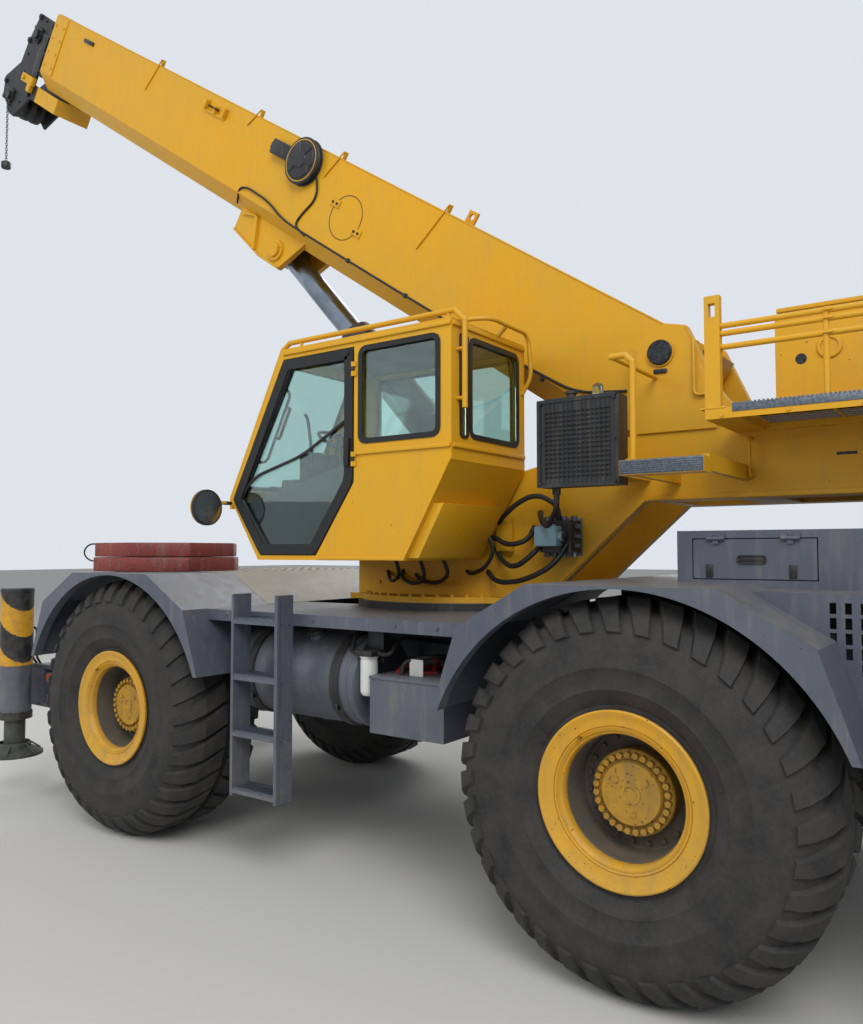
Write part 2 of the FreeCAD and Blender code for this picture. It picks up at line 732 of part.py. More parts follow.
def engine_cover():
    """Hood and lower cover around the engine, with a door on each side of the hood."""
    rear = -size.body_rear
    wall = size.cover_wall
    low = box(rear, -size.body_front, -size.body_half, size.body_half, size.body_bottom,
              size.body_top)
    hood = box(rear, -size.hood_front, -size.deck_half, size.deck_half,
               size.frame_top, size.hood_top)
    tools = [
        box(rear + wall, -size.body_front - wall, wall - size.body_half, size.body_half - wall,
            size.body_bottom - 10, size.body_top - wall),
        box(rear + wall, -size.hood_front - wall, wall - size.deck_half, size.deck_half - wall,
            size.frame_top - 10, size.hood_top - wall),
        box(-size.frame_rear - 1, -size.hood_front + 1, -size.frame_half, size.frame_half,
            size.frame_bottom - 10, size.frame_top),
    ]
    for side_name, side in SIDES:
        tools.append(profile("XZ", fender_outline(rear_x), side * size.deck_half,
                             side * fender_outer))
        tools.append(arch(rear_x, side, size.frame_half + 0.0, fender_outer))
        tools.append(box(-size.lid_rear, -size.lid_front, side * (size.deck_half - wall - 10),
                         side * (size.deck_half + 10), size.body_top + size.lid_margin,
                         size.hood_top - size.lid_margin))
        tools += vent_slots(side)
    shell = [cut(fuse([low, hood]), tools)]
    gap = size.lid_gap
    high = size.hood_top - size.lid_margin
    for side_name, side in SIDES:
        leaf_in = side * (size.deck_half - 1)
        leaf_out = side * (size.deck_half + size.hinge_out)
        pin = (side * (size.deck_half + size.hinge_out), high - gap / 2)
        door = [box(-size.lid_rear + gap, -size.lid_front - gap, side * (size.deck_half - wall),
                    side * size.deck_half, size.body_top + size.lid_margin + gap, high - gap)]
        bores = []
        for x in (-size.lid_rear + 80, -size.lid_front - 170):
            fixed, turning, bore = knuckles("x", pin, x)
            shell += fixed
            shell.append(box(x, x + 30, leaf_in, leaf_out, high - gap / 2, high + 20))
            shell.append(box(x + 60, x + 90, leaf_in, leaf_out, high - gap / 2, high + 20))
            door.append(turning)
            door.append(box(x + 31, x + 59, leaf_in, leaf_out, high - 30, high - gap / 2))
            bores.append(bore)
        node(f"{side_name}_hood_door", cut(fuse(door), bores))
    node("engine_cover", fuse(shell))
    node("engine_block", box(-size.engine_rear, -size.engine_front, -size.engine_half,
                             size.engine_half, size.frame_top, size.engine_top))


def pads():
    """Two octagonal outrigger pads stowed on the left of the front deck."""
    made = []
    for level in range(2):
        corners = []
        for i in range(8):
            angle = math.radians(22.5 + 45 * i)
            corners.append((front_x + size.pad_ahead + size.pad_radius * round(math.cos(angle), 4),
                            size.pad_y + size.pad_radius * round(math.sin(angle), 4)))
        z = pads_low + size.pad_height * level
        made.append(profile("XY", corners, z + 0.0, z + size.pad_height))
    node("outrigger_pads", group(made))


def axles():
    """Axle housings with their forks, the gearbox and the shafts between them."""
    for name, x in AXLES:
        radius = size.tyre_radius
        pieces = [rod("y", size.axle_radius, (x, radius), -size.axle_end_y, size.axle_end_y)]
        ball = doc.addObject("Part::Sphere", "ball")
        bind(ball, "Radius", size.axle_bulge)
        place(ball, x, 0, radius)
        pieces.append(ball)
        for side_name, side in SIDES:
            pieces.append(box(x - 110, x + 110, side * 260, side * 400, radius,
                              size.frame_bottom))
            for level in (1, -1):
                z0 = radius + level * 120
                z1 = radius + level * size.axle_radius
                pieces.append(box(x - size.kingpin_radius, x + size.kingpin_radius,
                                  side * (size.axle_end_y - 60), side * size.kingpin_y, z0, z1))
                pieces.append(rod("z", size.kingpin_radius, (x, side * size.kingpin_y), z0, z1))
        node(f"{name}_axle", fuse(pieces))
    shafts = [box(-size.gearbox_rear, -size.gearbox_front, -size.gearbox_half,
                  size.gearbox_half, size.gearbox_low, size.frame_bottom)]
    shafts.append(rod("x", size.shaft_radius, (0, size.tyre_radius), -size.gearbox_front,
                      front_x - size.axle_bulge))
    shafts.append(rod("x", size.shaft_radius, (0, size.tyre_radius), rear_x + size.axle_bulge,
                      -size.gearbox_rear))
    node("drive_line", fuse(shafts))


def tyre():
    """Tyre with its shoulders and beads, open inside."""
    wide = size.tyre_width / 2
    flange = size.rim_flange_radius
    bead_in = size.bead_radius + size.slide_gap
    lip = size.rim_half - 20 - size.slide_gap
    inside = wide - size.tyre_wall
    crown = size.tyre_radius - size.tread_depth
    half_band = [(bead_in, lip - size.tyre_wall), (bead_in, lip + 0.0), (flange + 30, lip + 0.0)]
    half_band += [(size.tyre_radius - drop, wide * share) for drop, share in TYRE_CURVE]
    half_band.append((size.tyre_radius, size.tread_half + 0.0))
    half_room = [(crown, size.tread_half - 20), (crown - 67, inside - 30),
                 (crown - 147, inside + 0.0), (flange + 40, lip - size.tyre_wall)]
    return turned(half_band + [(a, -b) for a, b in reversed(half_band)]
                  + [(a, -b) for a, b in reversed(half_room)] + half_room)


def rim():
    """Five-piece rim with its lock rings, and the planetary hub on its disc."""
    half = size.rim_half
    flange = size.rim_flange_radius
    bead = size.bead_radius
    bore = bead - size.rim_wall
    disc = size.rim_disc_y
    out = size.hub_out
    hole = size.stub_radius + size.slide_gap
    ring = [
        (hole, disc - 60), (bore, disc - 60), (bore, -half),
        (flange, -half), (flange, 20 - half), (bead, 20 - half), (bead, half - 20),
        (flange, half - 20), (flange + 9, half - 10), (flange + 9, half + 4),
        (flange - 4, half + 8), (flange - 24, half + 2), (flange - 44, half - 9),
        (bead + 18, half - 12), (bead + 8, half - 15), (bead - 4, half - 12),
        (bore + 4, half - 20), (bore, half - 50), (bore, disc + 70), (bore - 10, disc + 0.0),
        (size.hub_radius, disc + 0.0), (size.hub_radius, out - 40),
        (size.hub_radius - 8, out - 34), (size.hub_cover + 2, out - 34),
        (size.hub_cover - 4, out - 6), (size.hub_cover - 14, out + 0.0), (0, out + 0.0),
        (0, disc - 20), (hole, disc - 20),
    ]
    return turned(ring)


def wheels():
    """Knuckle, rim and tyre at each corner: one tyre and one rim serve all four."""
    radius = size.tyre_radius
    tyre_body = tyre()
    rim_body = rim()
    for end_name, x in AXLES:
        for side_name, side in SIDES:
            where = f"{end_name}_{side_name}"
            tall = 240 - size.slide_gap * 2
            post = rod("z", size.post_radius, (x, side * size.kingpin_y),
                       radius - tall / 2, radius + tall / 2)
            stub = rod("y", size.stub_radius, (x, radius), side * size.kingpin_y,
                       side * (size.tyre_y + size.rim_disc_y - 25))
            node(f"{where}_knuckle", fuse([post, stub]))
            node(f"{where}_rim", group([rim_body]), x, side * size.tyre_y, radius,
                 (0, 0, 1), 90 - side * 90)
            node(f"{where}_tyre", group([tyre_body]), x, side * size.tyre_y, radius)


def slewing_ring():
    node("slewing_ring", rod("z", size.ring_radius, (swing_x, 0), size.frame_top, ring_top))


def turret():
    """Side plates on a floor plate, with the boom's cheeks and the hoist bed behind."""
    outline = [
        (size.turret_front, floor_low + 0.0), (size.turret_front, floor_low + 400),
        (-100 + size.turret_front * 0, size.cab_floor + 420),
        (pivot_x + 170, size.turret_low + 410),
        (pivot_x + 170, size.pivot_z + 70), (pivot_x - 20, size.pivot_z + 180),
        (pivot_x - 150, size.pivot_z + 150), (pivot_x - 320, size.turret_deck + 130),
        (pivot_x - 420, size.turret_deck + 0.0), (-size.turret_tail, size.turret_deck + 0.0),
        (-size.turret_tail, size.turret_low + 0.0), (pivot_x + 110, size.turret_low + 0.0),
        (swing_x - size.ring_radius - 170, floor_low + 0.0),
    ]
    panel = [
        (pivot_x + 155, size.turret_deck - 120), (pivot_x + 155, size.pivot_z + 50),
        (pivot_x - 30, size.pivot_z + 165), (pivot_x - 140, size.pivot_z + 140),
        (pivot_x - 300, size.turret_deck + 140), (pivot_x - 326, size.turret_deck - 120),
    ]
    high = size.drum_z + 250
    round_ = 60
    hoist_plate = [
        (-size.turret_tail, size.turret_deck - 10), (hoist_front, size.turret_deck - 10),
        (hoist_front, high - round_), (hoist_front - round_ * 0.3, high - round_ * 0.3),
        (hoist_front - round_, high), (-size.turret_tail, high),
    ]
    pieces = []
    tools = []
    for side_name, side in SIDES:
        pieces.append(profile("XZ", outline, side * size.cheek_in, side * cheek_out))
    pieces.append(box(swing_x - size.ring_radius + 40, size.turret_front, -size.turret_half,
                      size.turret_half, floor_low, floor_top))
    pieces.append(rod("z", size.ring_radius, (swing_x, 0), floor_low, floor_top))
    # bottom plate of the tail with its openings, and the hoist bed
    pieces.append(box(-size.turret_tail, pivot_x + 90, -size.cheek_in - 5, size.cheek_in + 5,
                      size.turret_low, size.turret_low + size.turret_floor))
    for start, end in BED_OPENINGS:
        tools.append(box(pivot_x - start, pivot_x - end, -size.bed_opening, size.bed_opening,
                         size.turret_low - 5, size.turret_low + size.turret_floor + 5))
    pieces.append(box(-size.turret_tail, pivot_x - 500, -cheek_out, cheek_out,
                      size.turret_deck - size.turret_floor, size.turret_deck))
    # cylinder's foot brackets, each side of its eye
    gap = size.barrel_radius + 8
    for side_name, side in SIDES:
        pieces.append(box(foot_x - 130, foot_x + 130, side * gap,
                          side * (gap + size.bracket_wall), floor_low,
                          size.lift_foot_z + 130))
        pieces.append(box(foot_x - 130, foot_x + 130, side * gap, side * (size.cheek_in + 10),
                          floor_top - 1, floor_top + 60))
        tools.append(rod("y", size.pivot_radius + 0.05, (pivot_x, size.pivot_z),
                         side * (size.cheek_in - 5), side * (cheek_out + 30)))
        pieces.append(profile("XZ", hoist_plate, side * size.cheek_in,
                              side * (size.cheek_in + 30)))
        pieces.append(profile("XZ", panel, side * (cheek_out - 1),
                              side * (cheek_out + size.cheek_plate)))
        for drum_x in (size.drum_front_x, size.drum_rear_x):
            tools.append(rod("y", 60 + 0.05, (-drum_x, size.drum_z), side * (size.cheek_in - 5),
                             side * (size.cheek_in + 35)))
    # cab brackets
    for x in (-size.cab_rear + 100, 300):
        pieces.append(box(x, x + 120, cheek_out - 5, size.cab_right, size.cab_floor + 60,
                          size.cab_floor + 260))
    # cooler's bracket
    pieces.append(box(-size.cooler_rear + 60, -size.cooler_rear + 200, cheek_out - 5,
                      size.cooler_out - size.cooler_depth, size.cooler_low + 60,
                      size.cooler_low + 120))
    node("turret_frame", cut(fuse(pieces), tools))


def tail():
    """Counterweight, hoist drums and the walkway with its handrails."""
    middle = box(-size.weight_rear, -size.turret_tail, -cheek_out, cheek_out,
                 size.turret_low, size.weight_top)
    pieces = [middle]
    for side_name, side in SIDES:
        pieces.append(box(-size.weight_rear, -size.weight_front, side * cheek_out,
                          side * size.weight_half, size.turret_low, size.weight_top - 160))
    node("counterweight", fuse(pieces))
    for name, drum_x in (("front", size.drum_front_x), ("rear", size.drum_rear_x)):
        wide = size.cheek_in - 20
        drum = rod("y", size.drum_radius, (-drum_x, size.drum_z), -wide, wide)
        ends = [rod("y", size.drum_radius + 70, (-drum_x, size.drum_z), side * wide,
                    side * (wide - 25)) for side in (1, -1)]
        axle = rod("y", 60, (-drum_x, size.drum_z), -size.cheek_in - 30, size.cheek_in + 30)
        node(f"{name}_hoist_drum", fuse([drum, axle] + ends))
    top = size.walk_top
    front = -size.walk_front
    rear = -size.weight_front + 20
    low = top - size.walk_depth
    # frame of the walkway, its grating and the brackets on the turret's side
    pieces = [cut(box(rear, front, cheek_out, size.walk_out, low, top - 5),
                  [box(rear + 30, front - 30, cheek_out + 30, size.walk_out - 12, low - 5,
                       top + 5)])]
    for bar_ in range(GRATING_BARS):
        y = cheek_out + 30 + (size.walk_out - 42 - cheek_out) * ((bar_ + 0.5) / GRATING_BARS)
        pieces.append(box(rear + 20, front - 20, y - 4, y + 4, top - 35, top))
    for x in (front - 60, (front + rear) / 2, rear + 60):
        pieces.append(box(x, x + 10, cheek_out, size.walk_out - 5, top - 40, top - 12))
    # post with its square window, standing on the walkway's front bracket
    radius = size.rail_radius
    y = size.walk_out - size.post_deep / 2 - 5
    post_x = front + 56
    pieces.append(box(front - 30, post_x + size.post_wide, cheek_out, size.walk_out, low, top - 15))
    post = box(post_x, post_x + size.post_wide, y - size.post_deep / 2, y + size.post_deep / 2,
               top - 20, size.post_top)
    window = box(post_x + size.post_wide * 0.28, post_x + size.post_wide * 0.72, y - size.post_deep,
                 y + size.post_deep, size.post_top - 110, size.post_top - 40)
    pieces.append(cut(post, [window]))
    for x in ((front + rear) / 2, rear + 60):
        pieces.append(rod("z", radius, (x, y), low + 10, size.rail_top))
    for drop in (0, size.rail_pitch, size.rail_drop):
        z = size.rail_top - radius - drop
        pieces.append(rod("x", radius, (y, z), rear + 60, post_x + 10))
    node("walkway", fuse(pieces))


def section_outline(step):
    """Corners of a boom section: 0 is the base's outside, and each step is one plate inwards."""
    side = size.boom_half - step
    top = size.boom_above - step
    low = -size.boom_below + step
    slant = size.boom_chamfer
    return [
        (-side, low + slant), (slant - side, low + 0.0), (side - slant, low + 0.0),
        (side + 0.0, low + slant), (side + 0.0, top + 0.0), (-side, top + 0.0),
    ]


def lower_pad(inside, end):
    """Wear pad at the mouth of a section, under the next one."""
    wide = size.boom_half - inside - size.boom_chamfer - size.section_gap
    low = -size.boom_below + inside
    return box(end - size.pad_length, end, -wide, wide, low - 1,
               low + size.section_gap - size.slide_gap)


def boom():
    """Base section with the rod's bracket, three sections inside it and the sheave head."""
    wall = size.boom_wall
    gap = size.section_gap
    tube = profile("YZ", section_outline(Value(0.0, "0")), -size.boom_tail,
                   size.boom_front + 0.0)
    hollow = profile("YZ", section_outline(wall + 0.0), 40 - size.boom_tail,
                     size.boom_front + 10)
    pin_half = cheek_out + size.cheek_plate + 12
    pin = rod("y", size.pivot_radius, (0, 0), -pin_half, pin_half)
    boss = rod("y", size.pivot_radius + 60, (0, 0), -size.boom_half - 44, size.boom_half + 44)
    bracket = [
        (size.eye_along - 330, -size.boom_below + 80),
        (size.eye_along - 120, -size.eye_below - 130),
        (size.eye_along + 200, -size.eye_below - 130),
        (size.eye_along + 640, -size.boom_below - 170),
        (size.eye_along + 640, -size.boom_below + 80),
    ]
    # the bracket's plates stand wider than the cylinder's head, which runs in between them
    inner = size.barrel_radius + 12
    lift_pin = (size.eye_along, -size.eye_below)
    plates = []
    for side_name, side in SIDES:
        plates.append(profile("XZ", bracket, side * inner, side * (inner + size.bracket_wall)))
        plates.append(rod("y", size.lift_pin_radius + 30, lift_pin,
                          side * (size.eye_half + size.slide_gap), side * (inner + 60)))
    pin_end = inner + 75
    side = size.boom_half - 1
    nose = (size.boom_front - size.nose_length, size.boom_front - 12)
    plates += [
        box(nose[0], nose[1], side, size.boom_half + size.nose_plate,
            size.boom_chamfer - size.boom_below + 20, size.boom_above - 20),
        box(nose[0], nose[1], -side, -size.boom_half - size.nose_plate,
            size.boom_chamfer - size.boom_below + 20, size.boom_above - 20),
    ]
    reel = (size.reel_along, 0)
    lug = cut(box(size.lug_along - 45, size.lug_along + 45, -12, 12, size.boom_above - 1,
                  size.boom_above + 110),
              [rod("y", 24, (size.lug_along, size.boom_above + 65), -15, 15)])
    pieces = [cut(fuse([tube] + plates), [hollow]), pin, boss, lug,
              rod("y", size.reel_radius, reel, side, size.boom_half + size.reel_depth),
              rod("y", size.reel_radius * 0.35, reel, side,
                  size.boom_half + size.reel_depth + 14),
              box(size.reel_along + size.reel_radius * 0.6, size.reel_along + 430, side,
                  size.boom_half + size.reel_depth * 0.8, -60, 60),
              lower_pad(wall + 0.0, size.boom_front),
              rod("y", size.lift_pin_radius, lift_pin, -pin_end, pin_end)]
    on_boom("boom_base", fuse(pieces))
    rear = size.section_rear
    front = size.boom_front
    for i, name in enumerate(("boom_second", "boom_third", "boom_tip")):
        outside = (wall + gap) * (i + 1)
        start = rear + size.section_step * i
        end = front + size.section_step * (i + 1)
        tube = profile("YZ", section_outline(outside), start, end)
        bore = profile("YZ", section_outline(outside + wall), start - 10, end + 10)
        pieces = [cut(tube, [bore])]
        pad = gap - size.slide_gap
        top = size.boom_above - outside
        wide = size.boom_half - outside - size.boom_chamfer
        pieces.append(box(start, start + size.pad_length, -wide, wide, top - 1, top + pad))
        if name == "boom_tip":
            pieces += head(end)
        else:
            pieces.append(lower_pad(outside + wall, end))
        on_boom(name, fuse(pieces))


def head_place(start, shares):
    """A place on the sheave head, along and up from the boom's pin."""
    along, down = shares
    return (start + size.head_length * along,
            size.boom_above - (size.boom_above + size.boom_below) * down)


def head(start):
    """Sheave head: two plates, their spacers and the sheaves' pins."""
    half = size.head_half
    wall = size.head_wall
    under = -size.boom_below - 30
    outline = [head_place(start, shares) for shares in HEAD_SIDE]
    back, low = outline[-1]
    neck, shelf = outline[0]
    front = start + size.head_length * 0.076
    outline += [(back, under), (front, under), (front, shelf)]
    made = []
    for side_name, side in SIDES:
        made.append(profile("XZ", outline, side * half, side * (half - wall)))
    made.append(box(neck, neck + 180, wall - half, half - wall, shelf + 20, shelf + 600))
    made.append(box(back, back + 40, wall - half, half - wall, low, under))
    for shares in HEAD_SHEAVES:
        middle = head_place(start, shares)
        made.append(rod("y", 45, middle, -half, half))
        for y in (-120, 0, 120):
            made.append(rod("y", size.sheave_radius, middle, y - 25, y + 25))
    return made


def hanging_weight():
    """Chain and weight of the hoist limit, hanging plumb from the sheave head."""
    along, up = head_place(size.boom_front + size.section_step * 3, HEAD_WEIGHT)
    x = pivot_x + along * cosine(size.boom_angle) - up * sine(size.boom_angle)
    z = size.pivot_z + along * sine(size.boom_angle) + up * cosine(size.boom_angle)
    side = size.head_half + 30
    pin = rod("y", 9, (x, z), size.head_half + size.slide_gap, side + 0.0)
    chain = rod("z", 12, (x, side), z - size.chain_length, z + 18)
    weight = rod("z", size.limit_radius, (x, side), z - size.chain_length - 90,
                 z - size.chain_length)
    node("hoist_limit_weight", fuse([pin, chain, weight]))


def lift_cylinder():
    """Rod with its eye at the boom's bracket, and the barrel around it down to the turret."""
    eye_x = (pivot_x + size.eye_along * cosine(size.boom_angle)
             + size.eye_below * sine(size.boom_angle))
    eye_z = (size.pivot_z + size.eye_along * sine(size.boom_angle)
             - size.eye_below * cosine(size.boom_angle))
    rise = eye_z - size.lift_foot_z
    run = eye_x - foot_x
    length = distance(rise, run)
    angle = slope(rise, run)
    pin = size.lift_pin_radius + 0.05
    eye = rod("y", size.eye_radius, (length, 0), -size.eye_half, size.eye_half)
    shaft = rod("x", size.rod_radius, (0, 0), length - size.rod_length, length)
    piston = rod("x", size.barrel_radius - 20 - size.slide_gap, (0, 0),
                 length - size.rod_length, length - size.rod_length + 60)
    bore = rod("y", pin, (length, 0), -size.eye_half - 5, size.eye_half + 5)
    node("lift_rod", cut(fuse([eye, shaft, piston]), [bore]), foot_x, 0, size.lift_foot_z,
         (0, -1, 0), angle)
    barrel = rod("x", size.barrel_radius, (0, 0), size.eye_radius * 0.7, size.barrel_length)
    gland = rod("x", size.barrel_radius + size.gland_out, (0, 0), size.barrel_length - 160,
                size.barrel_length)
    wide = size.barrel_radius - 5
    foot = rod("y", size.eye_radius, (0, 0), -wide, wide)
    inside = rod("x", size.barrel_radius - 20, (0, 0), size.eye_radius + 10,
                 size.barrel_length - 60)
    mouth = rod("x", size.rod_radius + size.slide_gap, (0, 0), size.barrel_length - 70,
                size.barrel_length + 10)
    hole = rod("y", pin, (0, 0), -size.eye_half - 50, size.eye_half + 50)
    node("lift_barrel", cut(fuse([barrel, gland, foot]), [inside, mouth, hole]), foot_x, 0,
         size.lift_foot_z, (0, -1, 0), angle)


def cab_outline(step):
    """Corners of the cab seen from its side, moved inwards by a step."""
    return [
        (step - size.cab_heel, size.cab_floor + step), (size.cab_toe - step, size.cab_floor + step),
        (size.cab_nose - step * 1.1, size.cab_nose_z + 0.0),
        (size.cab_brow - step, size.cab_roof - step), (step - size.cab_rear, size.cab_roof - step),
        (step - size.cab_rear, size.cab_heel_z + 0.0),
    ]


def door_outline(step):
    """Corners of the cab's door, moved inwards by a step."""
    top = size.cab_roof - 70
    return [
        (size.door_low_x + step * 0.7, size.cab_floor + 30 + step),
        (size.cab_toe - 20 - step * 0.8, size.cab_floor + 30 + step),
        (size.cab_nose - 20 - step * 1.2, size.cab_nose_z + 0.0),
        (size.cab_brow - 10 - step * 1.1, top - step), (step - size.door_post_x, top - step),
        (step - size.door_post_x, size.door_knee_z + 0.0),
    ]


def cab():
    """Hollow cab with cut windows, its panes, its door, seat and console."""
    wall = size.cab_wall
    left = size.cab_left
    right = size.cab_right
    shell = profile("XZ", cab_outline(Value(0.0, "0")), right + 0.0, left + 0.0)
    room = profile("XZ", cab_outline(wall), right + wall, left - wall)
    rim = size.window_rim
    sill = size.door_knee_z + 250
    top = size.cab_roof - rim
    side_rear = -size.cab_rear + rim
    side_front = -size.door_post_x - 50
    corner = left - 95
    windows = [
        ("left", box(side_rear, side_front, left - wall - 5, left + 5, sill, top)),
        ("right", box(side_rear, size.cab_brow - 150, right - 5, right + wall + 5, sill, top)),
        ("rear", box(-size.cab_rear - 5, wall - size.cab_rear + 5, right + rim, left - 200,
                     sill, top)),
        ("corner", box(-size.cab_rear - 5, wall - size.cab_rear + 5,
                       corner - size.narrow_pane, corner, sill, top)),
    ]
    # the windscreen follows the slanted front between its lower and upper corners
    lean = slope(size.cab_roof - size.cab_nose_z, size.cab_nose - size.cab_brow)
    face = distance(size.cab_roof - size.cab_nose_z, size.cab_nose - size.cab_brow)
    slant = (size.cab_nose + 0.0, 0, size.cab_nose_z + 0.0, (0, -1, 0), 180 - lean)
    screen = place(group([box(rim, face - rim, right + rim, left - rim, -10, wall + 15)]), *slant)
    doorway = profile("XZ", door_outline(Value(0.0, "0")), left - wall - 5, left + 5)
    shell = [cut(shell, [room, screen, doorway] + [tool for name, tool in windows])]
    gap = size.slide_gap
    clear = size.lid_gap
    hinge_x = clear / 2 - size.door_post_x
    leaves = []
    bores = []
    for z in (size.door_knee_z + 100, size.cab_roof - 260):
        fixed, turning, bore = knuckles("z", (hinge_x, left + size.hinge_out), z)
        shell += fixed
        shell.append(box(hinge_x - 25, hinge_x, left - 1, left + size.hinge_out, z, z + 30))
        shell.append(box(hinge_x - 25, hinge_x, left - 1, left + size.hinge_out, z + 60, z + 90))
        leaves.append(turning)
        leaves.append(box(hinge_x, hinge_x + 30, left - 1, left + size.hinge_out, z + 31, z + 59))
        bores.append(bore)
    node("cab_shell", fuse(shell))
    pane = size.glass
    inset = 12
    panes = [
        box(side_rear + gap, side_front - gap, left - inset, left - inset - pane,
            sill + gap, top - gap),
        box(side_rear + gap, size.cab_brow - 150 - gap, right + inset, right + inset + pane,
            sill + gap, top - gap),
        box(inset - size.cab_rear, inset + pane - size.cab_rear, right + rim + gap,
            left - 200 - gap, sill + gap, top - gap),
        box(inset - size.cab_rear, inset + pane - size.cab_rear,
            corner - size.narrow_pane + gap, corner - gap, sill + gap, top - gap),
        place(group([box(rim + gap, face - rim - gap, right + rim + gap, left - rim - gap,
                         inset, inset + pane)]), *slant),
    ]
    node("cab_glass", group(panes))
    frame = profile("XZ", door_outline(clear + 0.0), left - wall, left + 0.0)
    opening = profile("XZ", door_outline(clear + 60.0), left - wall - 5, left + 5)
    node("cab_door", cut(fuse([cut(frame, [opening])] + leaves), bores))
    node("door_glass", profile("XZ", door_outline(clear + 60.0 + gap), left - 30,
                               left - 30 + pane))
    middle = (left + right) / 2
    floor = size.cab_floor + wall
    node("seat_frame", box(-350, -50, middle - 150, middle + 150, floor, floor + 300))
    cushion = box(-400, 80, middle - 230, middle + 230, floor + 300, floor + 300 + size.cushion)
    back = box(-400 - size.cushion, -400, middle - 230, middle + 230, floor + 300,
               floor + 900)
    node("operator_seat", fuse([cushion, back]))
    console = box(480, 620, right + wall + 60, left - wall - 60, floor, floor + 500)
    node("cab_console", console)


def cab_rails():
    """Bent grab tube before the windscreen, over the roof and down the rear, with a mirror."""
    y = size.cab_left - 60
    off = size.rail_stand + 0.0
    front = size.cab_nose + off
    rear = -size.cab_rear - off
    roof = size.cab_roof + off
    outline = [(front, size.cab_nose_z - 60), (front, size.cab_nose_z + 20),
               (size.cab_brow + off, roof - 40), (size.cab_brow - 10, roof), (rear + 70, roof),
               (rear, roof - 70), (rear, size.cab_heel_z + 300)]
    pieces = tube(size.rail_tube, y, outline)
    reach = size.rail_tube - 6
    for x in (size.cab_brow - 120, 60 - size.cab_rear):
        pieces.append(rod("z", reach, (x, y), size.cab_roof + size.slide_gap, roof))
    for z in (size.cab_heel_z + 360, size.cab_roof - 180):
        pieces.append(rod("x", reach, (y, z), rear, -size.cab_rear - size.slide_gap))
    arm = size.cab_nose_z - 20
    pieces.append(rod("y", reach, (front, arm), y, y + 240))
    pieces.append(rod("x", size.mirror_radius, (y + 240, arm - 40), front - 18, front + 12))
    node("cab_rails", fuse(pieces))


def side_units():
    """Oil cooler, valve block and side step beside the turret."""
    grooves = []
    for row in range(COOLER_FINS):
        z = size.cooler_low + 45 + size.fin_pitch * row
        grooves.append(box(45 - size.cooler_rear, -size.cooler_front - 45,
                           size.cooler_out - size.fin_depth, size.cooler_out + 5,
                           z, z + size.fin_gap))
    cooler = box(-size.cooler_rear, -size.cooler_front, size.cooler_out - size.cooler_depth,
                 size.cooler_out, size.cooler_low, size.cooler_top)
    node("oil_cooler", cut(cooler, grooves))
    near = cheek_out + size.slide_gap
    block = [box(-size.valve_rear, -size.valve_rear + 215, near, near + 150, size.valve_low,
                 size.valve_top)]
    middle = (size.valve_low + size.valve_top) / 2
    for x in (50 - size.valve_rear, 150 - size.valve_rear):
        block.append(rod("y", 30, (x, middle), near + 140, near + 210))
    node("valve_block", fuse(block))
    low = size.side_step_top - size.tread_strip - 18
    out = size.side_step_out + 0.0
    inner = out - 110
    step = [box(-size.step_rear, -size.step_front, inner, out, low,
                size.side_step_top - 18)]
    for x in (-size.step_rear, -size.step_front - 40):
        step.append(box(x, x + 40, near, inner + 20, low + 10, size.side_step_top))
    grab_x = -size.step_front - 20
    step += tube(size.rail_tube, inner - 40, [
        (grab_x, low + 30), (grab_x, size.grab_top - 40), (grab_x + 40, size.grab_top),
        (grab_x + 130, size.grab_top)])
    step.append(rod("y", size.rail_tube - 4, (grab_x + 120, size.grab_top),
                    near + size.cheek_plate, inner - 40))
    node("side_step", fuse(step))


def main():
    carrier_frame()
    outriggers()
    fenders()
    decks()
    ladders()
    tanks()
    engine_cover()
    pads()
    axles()
    wheels()
    slewing_ring()
    turret()
    tail()
    boom()
    hanging_weight()
    lift_cylinder()
    cab()
    cab_rails()
    side_units()
    doc.recompute()
    for item in doc.Objects:
        if "Invalid" in item.State or "Error" in item.State:
            raise RuntimeError(f"{item.Name} ({item.Label}) failed: {item.State}")
    os.makedirs("parts", exist_ok=True)
    for item in NODES:
        shape = item.Shape
        if shape.isNull() or not shape.isValid():
            raise RuntimeError(f"{item.Label} has no valid shape")
        shape.exportStep(f"parts/{item.Label}.step")
        box_ = shape.BoundBox
        print(f"{item.Label:24s} solids {len(shape.Solids):2d}  volume {shape.Volume / 1e9:8.4f}"
              f"  x {box_.XMin:8.0f} {box_.XMax:8.0f}  y {box_.YMin:7.0f} {box_.YMax:7.0f}"
              f"  z {box_.ZMin:7.0f} {box_.ZMax:7.0f}")


main()
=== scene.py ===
"""The looks of a rough-terrain mobile crane: its paints, rubber and glass, and its small fittings.

Metres. Places are counted from the point on the ground midway between the axles, +X towards the
boom's tip, +Y to the cab's side, and each finished piece is moved to the part's frame at the end.
"""

import bmesh
import bpy
import math
from mathutils import Matrix, Vector


